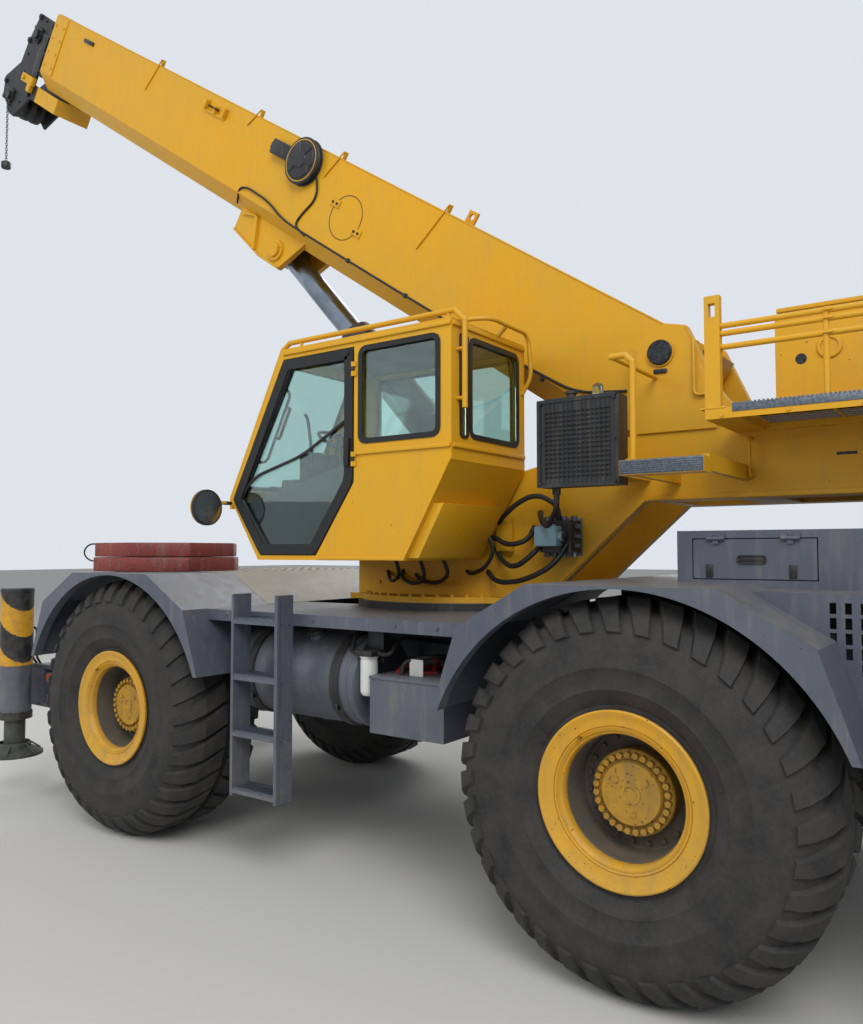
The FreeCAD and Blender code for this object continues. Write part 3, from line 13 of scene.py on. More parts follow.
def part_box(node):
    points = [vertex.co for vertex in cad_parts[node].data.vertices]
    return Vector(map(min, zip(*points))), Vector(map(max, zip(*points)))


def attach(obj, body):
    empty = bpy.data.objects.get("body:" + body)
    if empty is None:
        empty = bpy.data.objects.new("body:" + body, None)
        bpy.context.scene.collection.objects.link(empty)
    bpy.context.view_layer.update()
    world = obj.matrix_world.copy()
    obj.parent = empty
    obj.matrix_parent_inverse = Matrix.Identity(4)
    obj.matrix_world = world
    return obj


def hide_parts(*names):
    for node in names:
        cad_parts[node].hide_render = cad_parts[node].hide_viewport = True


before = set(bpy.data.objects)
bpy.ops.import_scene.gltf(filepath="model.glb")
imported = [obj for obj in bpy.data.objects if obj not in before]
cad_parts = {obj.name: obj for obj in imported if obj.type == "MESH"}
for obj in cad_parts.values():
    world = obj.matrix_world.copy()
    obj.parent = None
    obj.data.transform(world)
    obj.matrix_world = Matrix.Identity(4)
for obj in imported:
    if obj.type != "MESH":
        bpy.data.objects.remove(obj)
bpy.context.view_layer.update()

ORIGIN_X = 1.2524
AXLE_X = 1.98
AXLE_Z = 0.937
TYRE_Y = 1.275
BOOM_PIN = Vector((-1.78, 0, 3.28))
BOOM_ANGLE = 33.9
BOOM_FRONT = 8.5
RING_X = -0.05
CORNERS = (("front_left", AXLE_X, 1), ("front_right", AXLE_X, -1),
           ("rear_left", -AXLE_X, 1), ("rear_right", -AXLE_X, -1))


# Paints and other finishes


def linear(code):
    """An sRGB hex colour as linear light."""
    tones = [int(code[i:i + 2], 16) / 255 for i in (1, 3, 5)]
    return [t / 12.92 if t <= 0.04045 else ((t + 0.055) / 1.055) ** 2.4 for t in tones] + [1]


def add(tree, kind, inputs=(), **settings):
    """Add a shader node; inputs pairs a socket with a value or with another node's output."""
    made = tree.nodes.new(kind)
    for name, value in settings.items():
        setattr(made, name, value)
    for name, value in dict(inputs).items():
        socket = made.inputs[name]
        if isinstance(value, bpy.types.NodeSocket):
            tree.links.new(value, socket)
        else:
            socket.default_value = value
    return made


def finish(name, **constants):
    """A new material with its surface shader, and its tree's object coordinates."""
    made = bpy.data.materials.new(name)
    made.use_nodes = True
    tree = made.node_tree
    shader = tree.nodes["Principled BSDF"]
    for socket, value in constants.items():
        shader.inputs[socket.replace("_", " ")].default_value = value
    where = add(tree, "ShaderNodeTexCoord").outputs["Object"]
    return made, tree, shader, where


def noise(tree, where, millimetres, detail=3, rough=0.55):
    """A cloud pattern whose patches are about so many millimetres across."""
    return add(tree, "ShaderNodeTexNoise", {"Vector": where, "Scale": 1000 / millimetres,
                                            "Detail": detail, "Roughness": rough}).outputs["Fac"]


def between(tree, value, low, high, start=0.0, end=1.0):
    return add(tree, "ShaderNodeMapRange", {"Value": value, "From Min": low, "From Max": high,
                                            "To Min": start, "To Max": end}).outputs["Result"]


def blend(tree, share, first, second):
    """One colour over another by a share; each is a hex code or a node's output."""
    made = add(tree, "ShaderNodeMix", data_type="RGBA")
    tree.links.new(share, made.inputs[0])
    for index, colour in ((6, first), (7, second)):
        if isinstance(colour, str):
            made.inputs[index].default_value = linear(colour)
        else:
            tree.links.new(colour, made.inputs[index])
    return made.outputs[2]


def enamel(name, paint, faded, chip, dust, chips=0.72, dusty=0.35, rough=0.42, coat=0.15,
           head=None):
    """Sprayed two-part machine enamel: satin, sun-faded in patches, chipped to primer in small
    spots, with yard dust that lies thickest low down and on what faces up."""
    made, tree, shader, where = finish(name, Coat_Weight=coat, Coat_Roughness=0.3)
    # fading in patches of half a metre, streaks of rain dirt drawn out downwards
    colour = blend(tree, between(tree, noise(tree, where, 600), 0.35, 0.7), paint, faded)
    if head:
        # the sheave head, beyond the nose of the base section, is black
        run = (math.cos(math.radians(BOOM_ANGLE)), 0, math.sin(math.radians(BOOM_ANGLE)))
        along = add(tree, "ShaderNodeVectorMath", {0: where, 1: run},
                    operation="DOT_PRODUCT").outputs["Value"]
        colour = blend(tree, between(tree, along, 7.930, 7.932), colour, head)
    tall = add(tree, "ShaderNodeMapping", {"Vector": where, "Scale": (1, 1, 0.12)}).outputs[0]
    streaks = between(tree, noise(tree, tall, 45, 4), 0.52, 0.78, 0, dusty * 0.8)
    colour = blend(tree, streaks, colour, dust)
    # dust: more on surfaces that face up and towards the ground
    facing = add(tree, "ShaderNodeNewGeometry").outputs["Normal"]
    up = add(tree, "ShaderNodeSeparateXYZ", {"Vector": facing}).outputs["Z"]
    lying = between(tree, up, 0.2, 0.95, 0, dusty)
    height = add(tree, "ShaderNodeSeparateXYZ", {"Vector": where}).outputs["Z"]
    low = between(tree, height, 1.5, 0.3, 0, dusty)
    cover = add(tree, "ShaderNodeMath", {0: lying, 1: low}, operation="MAXIMUM").outputs[0]
    patchy = between(tree, noise(tree, where, 90, 5, 0.65), 0.3, 0.65)
    cover = add(tree, "ShaderNodeMath", {0: cover, 1: patchy}, operation="MULTIPLY").outputs[0]
    colour = blend(tree, cover, colour, dust)
    # chips of 5 mm, drawn coarse enough to show
    spots = between(tree, noise(tree, where, 16, 2, 0.4), chips, chips + 0.03)
    colour = blend(tree, spots, colour, chip)
    tree.links.new(colour, shader.inputs["Base Color"])
    gloss = between(tree, cover, 0, 0.6, rough, 0.8)
    tree.links.new(gloss, shader.inputs["Roughness"])
    peel = noise(tree, where, 6, 2)
    bump = add(tree, "ShaderNodeBump", {"Height": peel, "Strength": 0.08, "Distance": 0.002})
    tree.links.new(bump.outputs[0], shader.inputs["Normal"])
    return made


def rubber(name, tone, dust, dusty=0.6, rough=0.85):
    """Vulcanised tyre rubber: dull, greyed by dried mud in patches and in its grooves."""
    made, tree, shader, where = finish(name)
    patches = between(tree, noise(tree, where, 180, 5, 0.65), 0.35, 0.7, 0, dusty)
    colour = blend(tree, patches, tone, dust)
    fine = between(tree, noise(tree, where, 22, 4, 0.7), 0.45, 0.75, 0, dusty * 0.5)
    colour = blend(tree, fine, colour, dust)
    tree.links.new(colour, shader.inputs["Base Color"])
    tree.links.new(between(tree, patches, 0, dusty, rough - 0.15, rough + 0.08),
                   shader.inputs["Roughness"])
    grain = noise(tree, where, 9, 4, 0.7)
    bump = add(tree, "ShaderNodeBump", {"Height": grain, "Strength": 0.35, "Distance": 0.003})
    tree.links.new(bump.outputs[0], shader.inputs["Normal"])
    return made


def bare_metal(name, tone, dull, rough, grain):
    """Bare or zinc-coated steel: metal, with duller blotches of a given grain in millimetres."""
    made, tree, shader, where = finish(name, Metallic=1.0)
    patches = between(tree, noise(tree, where, grain, 4, 0.6), 0.38, 0.66)
    tree.links.new(blend(tree, patches, tone, dull), shader.inputs["Base Color"])
    tree.links.new(between(tree, patches, 0, 1, rough, min(rough + 0.25, 0.9)),
                   shader.inputs["Roughness"])
    return made


def clear_glass(name, tone, rough=0.0):
    """Toughened safety glass: thin, faintly green, a little dusty."""
    made, tree, shader, where = finish(name, Transmission_Weight=1.0, IOR=1.5)
    shader.inputs["Base Color"].default_value = linear(tone)
    film = between(tree, noise(tree, where, 120, 4), 0.45, 0.75, rough, rough + 0.03)
    tree.links.new(film, shader.inputs["Roughness"])
    return made


def woven_cloth(name, tone, light, thread):
    """Woven seat cloth: warp and weft drawn at 4 mm so that the weave shows."""
    made, tree, shader, where = finish(name, Roughness=0.9, Sheen_Weight=0.3)
    waves = []
    for direction in ("X", "Z"):
        waves.append(add(tree, "ShaderNodeTexWave", {"Vector": where, "Scale": 1000 / thread / 6.3,
                                                     "Distortion": 0.4},
                         bands_direction=direction).outputs["Fac"])
    weave = add(tree, "ShaderNodeMath", {0: waves[0], 1: waves[1]}, operation="MULTIPLY").outputs[0]
    tree.links.new(blend(tree, weave, tone, light), shader.inputs["Base Color"])
    bump = add(tree, "ShaderNodeBump", {"Height": weave, "Strength": 0.4, "Distance": 0.001})
    tree.links.new(bump.outputs[0], shader.inputs["Normal"])
    return made


def hazard_stripes(name, light, dark, width):
    """Slanted stripes painted on a jack's housing, a width in metres each, worn at the edges."""
    made, tree, shader, where = finish(name, Coat_Weight=0.1)
    turned = add(tree, "ShaderNodeMapping", {"Vector": where, "Rotation": (0, math.radians(40), 0)})
    along = add(tree, "ShaderNodeSeparateXYZ", {"Vector": turned.outputs[0]}).outputs["Z"]
    worn = add(tree, "ShaderNodeMath", {0: noise(tree, where, 30, 4), 1: 0.02},
               operation="MULTIPLY").outputs[0]
    along = add(tree, "ShaderNodeMath", {0: along, 1: worn}, operation="ADD").outputs[0]
    step = add(tree, "ShaderNodeMath", {0: along, 1: width * 2}, operation="PINGPONG").outputs[0]
    bands = between(tree, step, width * 0.98, width * 1.02)
    colour = blend(tree, bands, light, dark)
    grime = between(tree, noise(tree, where, 70, 5), 0.4, 0.75, 0, 0.5)
    colour = blend(tree, grime, colour, "#5d564b")
    tree.links.new(colour, shader.inputs["Base Color"])
    tree.links.new(between(tree, grime, 0, 0.5, 0.45, 0.8), shader.inputs["Roughness"])
    return made


yellow_enamel = enamel("yellow_machine_enamel", "#d69c08", "#cc9c20", "#7d4a1c", "#9a8662",
                       0.76, 0.22, 0.5, 0.05)
tip_enamel = enamel("yellow_section_black_head", "#d69c08", "#cc9c20", "#7d4a1c", "#6d6557",
                    0.76, 0.3, 0.5, 0.05, "#1a1b1d")
wheel_enamel = enamel("yellow_wheel_enamel", "#d69c0c", "#c49526", "#6b4a26", "#8d7b58", 0.71, 0.45)
dish_enamel = enamel("muddy_hub_enamel", "#bd8c16", "#a88128", "#5a4327", "#75613d",
                     0.66, 0.85, 0.6)
# the rim's deep barrel: dark grey and brown, painted shade of the recess inside the dish together with dried mud
barrel_shade_and_mud = enamel("painted_shade_and_mud_on_rim_barrel", "#4b4946", "#57524a", "#2f2c29", "#6a5c47", 0.7,
                       0.8, 0.8)
red_cable = rubber("red_cable_rubber", "#9c1c1c", "#6d3a34", 0.4, 0.5)
slate_enamel = enamel("slate_grey_enamel", "#4a505d", "#565b66", "#2f2f31", "#8a8375", 0.74, 0.4)
pale_deck = enamel("dusty_deck_enamel", "#8f8b82", "#9b968a", "#4b4c50", "#a49a85", 0.73, 0.6, 0.6)
black_enamel = enamel("black_chassis_enamel", "#17181a", "#232427", "#4a3a2c", "#6d6557",
                      0.74, 0.4, 0.5)
pad_enamel = enamel("worn_red_pad_paint", "#74261f", "#8b3b30", "#3b3230", "#8d7a6b", 0.6, 0.5, 0.6)
dark_green = enamel("dark_float_enamel", "#24322e", "#2c3a36", "#4a3a2c", "#6d6557", 0.7, 0.5, 0.6)
engine_paint = enamel("engine_casting_paint", "#3a3b3d", "#46474a", "#5a3a26", "#5d564b",
                      0.68, 0.5, 0.65)
valve_blue = enamel("light_blue_valve_paint", "#7fa6b8", "#8fb0bd", "#5a5a5a", "#8a8375", 0.75, 0.3)
filter_white = enamel("white_filter_paint", "#d4d5d2", "#c7c8c4", "#5a5a5a", "#8a8375", 0.78, 0.3)
tyre_rubber = rubber("dusty_tyre_rubber", "#1d1d1f", "#4a4640", 0.62)
hose_rubber = rubber("black_hose_rubber", "#131314", "#3b3936", 0.35, 0.6)
gasket_rubber = rubber("window_gasket_rubber", "#101113", "#2c2b2a", 0.25, 0.55)
zinc_steel = bare_metal("galvanised_steel", "#7d848d", "#666d76", 0.5, 12)
pin_steel = bare_metal("oiled_pin_steel", "#4c4e52", "#2e2f31", 0.4, 12)
hard_chrome = bare_metal("hard_chrome", "#939ca8", "#7d8794", 0.18, 200)
brass = bare_metal("brass_fitting", "#a5893f", "#6e5c2f", 0.4, 10)
window_glass = clear_glass("green_safety_glass", "#c3dcd8")
mirror_glass = bare_metal("mirror_silvering", "#c5c9cd", "#b9bdc1", 0.04, 300)
seat_cloth = woven_cloth("black_seat_cloth", "#141417", "#33333a", 4)
stripes = hazard_stripes("hazard_stripes", "#d39a18", "#17181a", 0.085)
amber_lens = finish("amber_lens", Roughness=0.15, IOR=1.49)[0]
red_lens = finish("red_lens", Roughness=0.15, IOR=1.49)[0]
amber_lens.node_tree.nodes["Principled BSDF"].inputs["Base Color"].default_value = linear("#c4560a")
red_lens.node_tree.nodes["Principled BSDF"].inputs["Base Color"].default_value = linear("#8e1410")


# Shapes


def block(mesh, x0, x1, y0, y1, z0, z1, soft=0.0):
    """A plate or block between two places on each axis, its edges eased by soft."""
    made = bmesh.ops.create_cube(mesh, size=1)["verts"]
    bmesh.ops.scale(mesh, verts=made, vec=(x1 - x0, y1 - y0, z1 - z0))
    bmesh.ops.translate(mesh, verts=made, vec=((x0 + x1) / 2, (y0 + y1) / 2, (z0 + z1) / 2))
    if soft:
        edges = list({edge for vert in made for edge in vert.link_edges})
        bmesh.ops.bevel(mesh, geom=edges, offset=soft, segments=2, profile=0.5,
                        affect="EDGES", material=-1)


def bar(mesh, start, end, radius, sides=16, tip=None):
    """A round bar between two points; tip is its radius at the far end."""
    start, end = Vector(start), Vector(end)
    run = end - start
    lay = Matrix.Translation((start + end) / 2) @ run.to_track_quat("Z", "Y").to_matrix().to_4x4()
    bmesh.ops.create_cone(mesh, cap_ends=True, segments=sides, radius1=radius,
                          radius2=radius if tip is None else tip, depth=run.length, matrix=lay)


LAY = {"y": lambda a, b, c: (a, c, b), "x": lambda a, b, c: (c, a, b),
       "z": lambda a, b, c: (a, b, c)}


def plate(mesh, corners, start, end, across="y", soft=0.0):
    """A flat plate with these corners, drawn out between two places across its plane."""
    order = LAY[across]
    verts = [mesh.verts.new(order(a, b, start)) for a, b in corners]
    face = mesh.faces.new(verts)
    grown = bmesh.ops.extrude_face_region(mesh, geom=[face])["geom"]
    moved = [item for item in grown if isinstance(item, bmesh.types.BMVert)]
    bmesh.ops.translate(mesh, verts=moved, vec=Vector(order(0, 0, end - start)))
    if soft:
        edges = list({edge for vert in verts + moved for edge in vert.link_edges})
        bmesh.ops.bevel(mesh, geom=edges, offset=soft, segments=2, profile=0.5,
                        affect="EDGES", material=-1)


def gasket(mesh, corners, wide, start, end, rounding, across="y"):
    """A flat frame inside these corners, its corners rounded, between two places."""
    order = LAY[across]
    before = set(mesh.faces)
    verts = [mesh.verts.new(order(a, b, start)) for a, b in corners]
    mesh.faces.new(verts)
    bmesh.ops.bevel(mesh, geom=verts, offset=rounding, segments=5, profile=0.5,
                    affect="VERTICES", material=-1)
    pane = [face for face in mesh.faces if face not in before]
    ring = bmesh.ops.inset_region(mesh, faces=pane, thickness=wide, use_even_offset=True,
                                  use_boundary=True)["faces"]
    bmesh.ops.delete(mesh, geom=pane, context="FACES_ONLY")
    grown = bmesh.ops.extrude_face_region(mesh, geom=ring)["geom"]
    moved = [item for item in grown if isinstance(item, bmesh.types.BMVert)]
    bmesh.ops.translate(mesh, verts=moved, vec=Vector(order(0, 0, end - start)))


def rectangle(a0, a1, b0, b1):
    return [(a0, b0), (a1, b0), (a1, b1), (a0, b1)]


def hoop(mesh, centre, axis, radius, thick, steps=40, sides=10):
    """A round ring of round bar."""
    ring = [(radius + thick * math.cos(math.tau * k / sides),
             thick * math.sin(math.tau * k / sides)) for k in range(sides)]
    turned(mesh, ring + ring[:1], centre, axis, steps)


def turned(mesh, profile, centre, axis, steps=48):
    """A profile of (radius, place along the axis) corners spun all the way round."""
    centre, axis = Vector(centre), Vector(axis).normalized()
    out = axis.orthogonal().normalized()
    verts = [mesh.verts.new(centre + out * radius + axis * along) for radius, along in profile]
    edges = [mesh.edges.new(pair) for pair in zip(verts, verts[1:])]
    bmesh.ops.spin(mesh, geom=verts + edges, cent=centre, axis=axis, angle=math.tau,
                   steps=steps, use_merge=True)


def ring_of_bolts(mesh, centre, axis, ring, count, size, high, sides=6):
    """Bolt heads on a circle, standing up from their seat along the axis."""
    centre, axis = Vector(centre), Vector(axis).normalized()
    out = axis.orthogonal().normalized()
    for i in range(count):
        seat = centre + Matrix.Rotation(math.tau * i / count, 3, axis) @ out * ring
        bar(mesh, seat, seat + axis * high, size, sides)


def boom_place():
    """Takes a shape drawn along X from the boom's pin to the boom as it stands."""
    return Matrix.Translation(BOOM_PIN) @ Matrix.Rotation(-math.radians(BOOM_ANGLE), 4, "Y")


def piece(name, mesh, material, body, place=None, smooth=35, replaces=()):
    """Close and finish a mesh, move it to the part's frame and let it ride on its body."""
    bmesh.ops.remove_doubles(mesh, verts=mesh.verts, dist=1e-5)
    bmesh.ops.recalc_face_normals(mesh, faces=mesh.faces)
    if place is not None:
        mesh.transform(place)
    bmesh.ops.translate(mesh, verts=mesh.verts, vec=(-ORIGIN_X, 0, 0))
    for edge in mesh.edges:
        edge.smooth = edge.is_manifold and edge.calc_face_angle(3) < math.radians(smooth)
    for face in mesh.faces:
        face.smooth = True
    data = bpy.data.meshes.new(name)
    mesh.to_mesh(data)
    mesh.free()
    data.materials.append(material)
    made = bpy.data.objects.new(name, data)
    bpy.context.scene.collection.objects.link(made)
    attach(made, body)
    if replaces:
        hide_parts(*replaces)
    return made


def bent_tubes(name, runs, radius, material, body, place=None, bend=0.06):
    """Tubes or hoses along runs of points, their corners rounded, made into one mesh."""
    curve = bpy.data.curves.new(name, "CURVE")
    curve.dimensions = "3D"
    curve.bevel_depth = radius
    curve.bevel_resolution = 3
    curve.use_fill_caps = True
    curve.resolution_u = 6
    for points in runs:
        points = [Vector(p) for p in points]
        spline = curve.splines.new("BEZIER")
        count = len(points)
        corners = [points[0]]
        for before, here, after in zip(points, points[1:], points[2:]):
            reach = min(bend, (here - before).length * 0.45, (after - here).length * 0.45)
            corners += [here + (before - here).normalized() * reach,
                        here + (after - here).normalized() * reach]
        corners.append(points[-1])
        spline.bezier_points.add(len(corners) - 1)
        for k, spot in enumerate(corners):
            dot = spline.bezier_points[k]
            dot.co = spot
            dot.handle_left_type = dot.handle_right_type = "FREE"
            turn = points[min((k + 1) // 2, count - 1)]
            toward = (turn - spot) * 0.55
            last = corners[k - 1] if k else spot
            following = corners[k + 1] if k + 1 < len(corners) else spot
            if k % 2:
                dot.handle_left, dot.handle_right = spot.lerp(last, 0.3), spot + toward
            else:
                turn = points[k // 2]
                dot.handle_left = spot + (turn - spot) * 0.55
                dot.handle_right = spot.lerp(following, 0.3)
    holder = bpy.data.objects.new(name, curve)
    bpy.context.scene.collection.objects.link(holder)
    bpy.context.view_layer.update()
    solid = bpy.data.meshes.new_from_object(
        holder.evaluated_get(bpy.context.evaluated_depsgraph_get()))
    bpy.data.objects.remove(holder)
    mesh = bmesh.new()
    mesh.from_mesh(solid)
    bpy.data.meshes.remove(solid)
    return piece(name, mesh, material, body, place, smooth=60)


# Wheels

TYRE_SIDE = ((0.3186, 0.25), (0.3186, 0.3090), (0.436, 0.3090), (0.452, 0.322), (0.5, 0.350),
             (0.512, 0.359), (0.524, 0.356), (0.6, 0.368), (0.612, 0.376), (0.632, 0.376),
             (0.644, 0.371), (0.7, 0.370), (0.76, 0.362), (0.815, 0.335), (0.862, 0.290),
             (0.888, 0.225), (0.893, 0.11), (0.893, 0.0))
LUG_TOP = ((0.782, 0.372), (0.842, 0.344), (0.898, 0.287), (0.9365, 0.215), (0.9365, 0.12),
           (0.9365, 0.030))
LUG_ROOT = ((0.772, 0.352), (0.812, 0.322), (0.855, 0.275), (0.880, 0.205), (0.885, 0.12),
            (0.885, 0.030))
LUG_COUNT = 36
LUG_LEAN = 0.19


def lug(mesh, turn, hand):
    """One diagonal lug from the shoulder to the middle, mapped on the tyre round the Y axis."""
    grid = bmesh.ops.create_grid(mesh, x_segments=5, y_segments=1, size=1)["verts"]
    top = list({face for vert in grid for face in vert.link_faces})
    grown = bmesh.ops.extrude_face_region(mesh, geom=top)["geom"]
    root = [item for item in grown if isinstance(item, bmesh.types.BMVert)]
    for verts, rows, half in ((grid, LUG_TOP, 0.036), (root, LUG_ROOT, 0.052)):
        for vert in verts:
            row = round((vert.co.x + 1) / 2 * 5)
            radius, across = rows[row]
            lean = LUG_LEAN * (row / 5) ** 1.2
            angle = turn + lean + vert.co.y * (half + 0.006 * row) / 0.93
            vert.co = (radius * math.sin(angle), across * hand, radius * math.cos(angle))


def tyre(name, x, side):
    """Off-road tyre: carcass with its ribs, and lugs that wrap over both shoulders."""
    mesh = bmesh.new()
    centre = (0, 0, 0)
    half = list(TYRE_SIDE)
    turned(mesh, half + [(r, -y) for r, y in reversed(half[:-1])] + [half[0]], centre, (0, 1, 0), 96)
    for i in range(LUG_COUNT):
        lug(mesh, math.tau * i / LUG_COUNT, 1)
        lug(mesh, math.tau * (i + 0.5) / LUG_COUNT, -1)
    piece(f"{name}_tyre_rubber", mesh, tyre_rubber, f"{name}_wheel",
          Matrix.Translation((x, side * TYRE_Y, AXLE_Z)), 28, [f"{name}_tyre"])


RIM_BACK = ((0.3176, -0.308), (0.404, -0.3095), (0.412, -0.318), (0.41, -0.335), (0.39, -0.342),
            (0.35, -0.338), (0.318, -0.325), (0.300, -0.300), (0.296, -0.02))
RIM_FACE = ((0.235, 0.0601), (0.290, 0.0601), (0.294, 0.12), (0.296, 0.260), (0.299, 0.288),
            (0.304, 0.296), (0.309, 0.297), (0.314, 0.303), (0.320, 0.312), (0.3235, 0.306),
            (0.327, 0.314), (0.334, 0.317), (0.3375, 0.311), (0.341, 0.318), (0.350, 0.320),
            (0.366, 0.322), (0.386, 0.328), (0.400, 0.336), (0.408, 0.338), (0.415, 0.334),
            (0.415, 0.320), (0.404, 0.3095), (0.3176, 0.3095))


def rim(name, x, side):
    """Five-piece rim with its lock ring, and the planetary hub with its ring of bolts."""
    mesh = bmesh.new()
    face = [(r, y * side) for r, y in RIM_FACE[3:]]
    back = [(r, y * side) for r, y in RIM_BACK]
    turned(mesh, list(reversed(face)) + [(0.2975, 0.255 * side), (0.2975, -0.02 * side)]
           + back[::-1] + [face[-1]], (0, 0, 0), (0, 1, 0), 72)
    out = side
    block(mesh, -0.03, 0.03, min(0.285 * out, 0.312 * out), max(0.285 * out, 0.312 * out),
          -0.365, -0.340, 0.004)
    piece(f"{name}_rim_rings", mesh, wheel_enamel, f"{name}_wheel",
          Matrix.Translation((x, side * TYRE_Y, AXLE_Z)), 35, [f"{name}_rim"])
    mesh = bmesh.new()
    barrel = bmesh.new()
    dish = ((0.2955, 0.257), (0.294, 0.12), (0.286, 0.075), (0.270, 0.0605), (0.200, 0.0600),
            (0.200, 0.040), (0.288, 0.036), (0.291, 0.06), (0.293, 0.255), (0.2955, 0.257))
    turned(barrel, [(r, y * out) for r, y in dish], (0, 0, 0), (0, 1, 0), 72)
    hub = ((0.0, 0.02), (0.24, 0.02), (0.24, 0.058), (0.205, 0.060), (0.205, 0.150),
           (0.200, 0.156), (0.156, 0.156), (0.153, 0.176), (0.146, 0.186), (0.052, 0.188),
           (0.050, 0.192), (0.034, 0.192), (0.030, 0.186), (0.0, 0.186))
    turned(mesh, [(r, y * out) for r, y in hub], (0, 0, 0), (0, 1, 0), 64)
    ring_of_bolts(mesh, (0, 0.152 * out, 0), (0, out, 0), 0.179, 28, 0.0155, 0.030, 8)
    ring_of_bolts(barrel, (0, 0.056 * out, 0), (0, out, 0), 0.258, 20, 0.013, 0.022, 6)
    # filler and drain plugs, three handling dogs on the hub's cover and the rim's driver key
    for angle, size in ((0.9, 0.016), (3.3, 0.012), (5.4, 0.016)):
        seat = Vector((0.095 * math.sin(angle), 0.184 * out, 0.095 * math.cos(angle)))
        bar(mesh, seat, seat + Vector((0, 0.010 * out, 0)), size, 8)
    # the barrel inside the dish is coloured dark: painted shade of the recess, with dried mud
    piece(f"{name}_rim_barrel", barrel, barrel_shade_and_mud, f"{name}_wheel",
          Matrix.Translation((x, side * TYRE_Y, AXLE_Z)), 35)
    piece(f"{name}_dish_and_hub", mesh, dish_enamel, f"{name}_wheel",
          Matrix.Translation((x, side * TYRE_Y, AXLE_Z)), 35)
    valve = bmesh.new()
    bar(valve, (0.19, 0.285 * out, 0.27), (0.195, 0.318 * out, 0.262), 0.006, 8)
    bar(valve, (0.195, 0.318 * out, 0.262), (0.195, 0.334 * out, 0.262), 0.0085, 8)
    piece(f"{name}_valve", valve, brass, f"{name}_wheel",
          Matrix.Translation((x, side * TYRE_Y, AXLE_Z)))


for corner, corner_x, corner_side in CORNERS:
    tyre(corner, corner_x, corner_side)
    rim(corner, corner_x, corner_side)


# Cab

DOOR_CORNERS = ((0.204, 2.066), (0.716, 2.066), (0.992, 2.45), (0.500, 3.374), (-0.114, 3.374),
                (-0.114, 2.524))
SCREEN = Matrix.Translation((1.02, 0, 2.45)) @ Matrix.Rotation(math.radians(-116.565), 4, "Y")


def cab_openings():
    """Rubber gaskets around the panes, and the door's black frame with its bars."""
    mesh = bmesh.new()
    gasket(mesh, rectangle(-0.784, -0.156, 2.756, 3.374), 0.034, 1.318, 1.326, 0.060)
    gasket(mesh, rectangle(-0.784, 0.384, 2.756, 3.374), 0.034, 0.454, 0.462, 0.060)
    gasket(mesh, rectangle(0.538, 1.132, 2.756, 3.374), 0.032, -0.866, -0.858, 0.06, "x")
    gasket(mesh, rectangle(1.140, 1.235, 2.752, 3.378), 0.020, -0.867, -0.858, 0.03, "x")
    piece("window_gaskets", mesh, gasket_rubber, "upper")
    mesh = bmesh.new()
    gasket(mesh, rectangle(0.07, 1.048, 0.530, 1.250), 0.045, -0.008, 0.003, 0.06, "z")
    bar(mesh, (0.05, 0.89, 0.004), (0.05, 0.89, -0.024), 0.016, 12)
    bar(mesh, (0.05, 0.89, -0.020), (0.115, 0.66, -0.026), 0.007, 8)
    block(mesh, 0.108, 0.122, 0.56, 0.98, -0.024, -0.008, 0.003)
    piece("windscreen_gasket", mesh, gasket_rubber, "upper", SCREEN)
    bent_tubes("screen_loops", [
        [(0.877, 1.272, -0.004), (0.877, 1.262, -0.050), (0.834, 1.063, -0.050),
         (0.286, 1.063, -0.050), (0.293, 1.262, -0.050), (0.293, 1.272, -0.004)],
        [(0.604, 1.272, -0.004), (0.604, 1.262, -0.036), (0.590, 1.185, -0.036),
         (0.425, 1.166, -0.036), (0.423, 1.262, -0.036), (0.423, 1.272, -0.004)],
    ], 0.011, black_enamel, "upper", SCREEN, bend=0.05)
    mesh = bmesh.new()
    gasket(mesh, DOOR_CORNERS, 0.070, 1.318, 1.328, 0.045)
    plate(mesh, [(0.25, 2.12), (0.69, 2.12), (0.90, 2.42), (0.30, 2.56), (-0.07, 2.66),
                 (-0.07, 2.55)], 1.279, 1.287)
    block(mesh, -0.095, -0.055, 1.326, 1.352, 2.62, 2.80, 0.008)
    piece("door_frame", mesh, gasket_rubber, "cab_door")
    # a bent bar across the door's glass, the pull inside it and a small grab loop
    bent_tubes("door_bars", [
        [(0.93, 1.308, 2.46), (0.80, 1.308, 2.60), (0.34, 1.308, 2.72), (-0.06, 1.308, 2.93)],
        [(0.30, 1.262, 2.62), (0.30, 1.235, 2.64), (0.36, 1.235, 2.98), (0.36, 1.262, 3.00)],
        [(0.62, 1.262, 2.86), (0.62, 1.24, 2.86), (0.52, 1.24, 3.06), (0.52, 1.262, 3.06)],
    ], 0.011, black_enamel, "cab_door", bend=0.09)


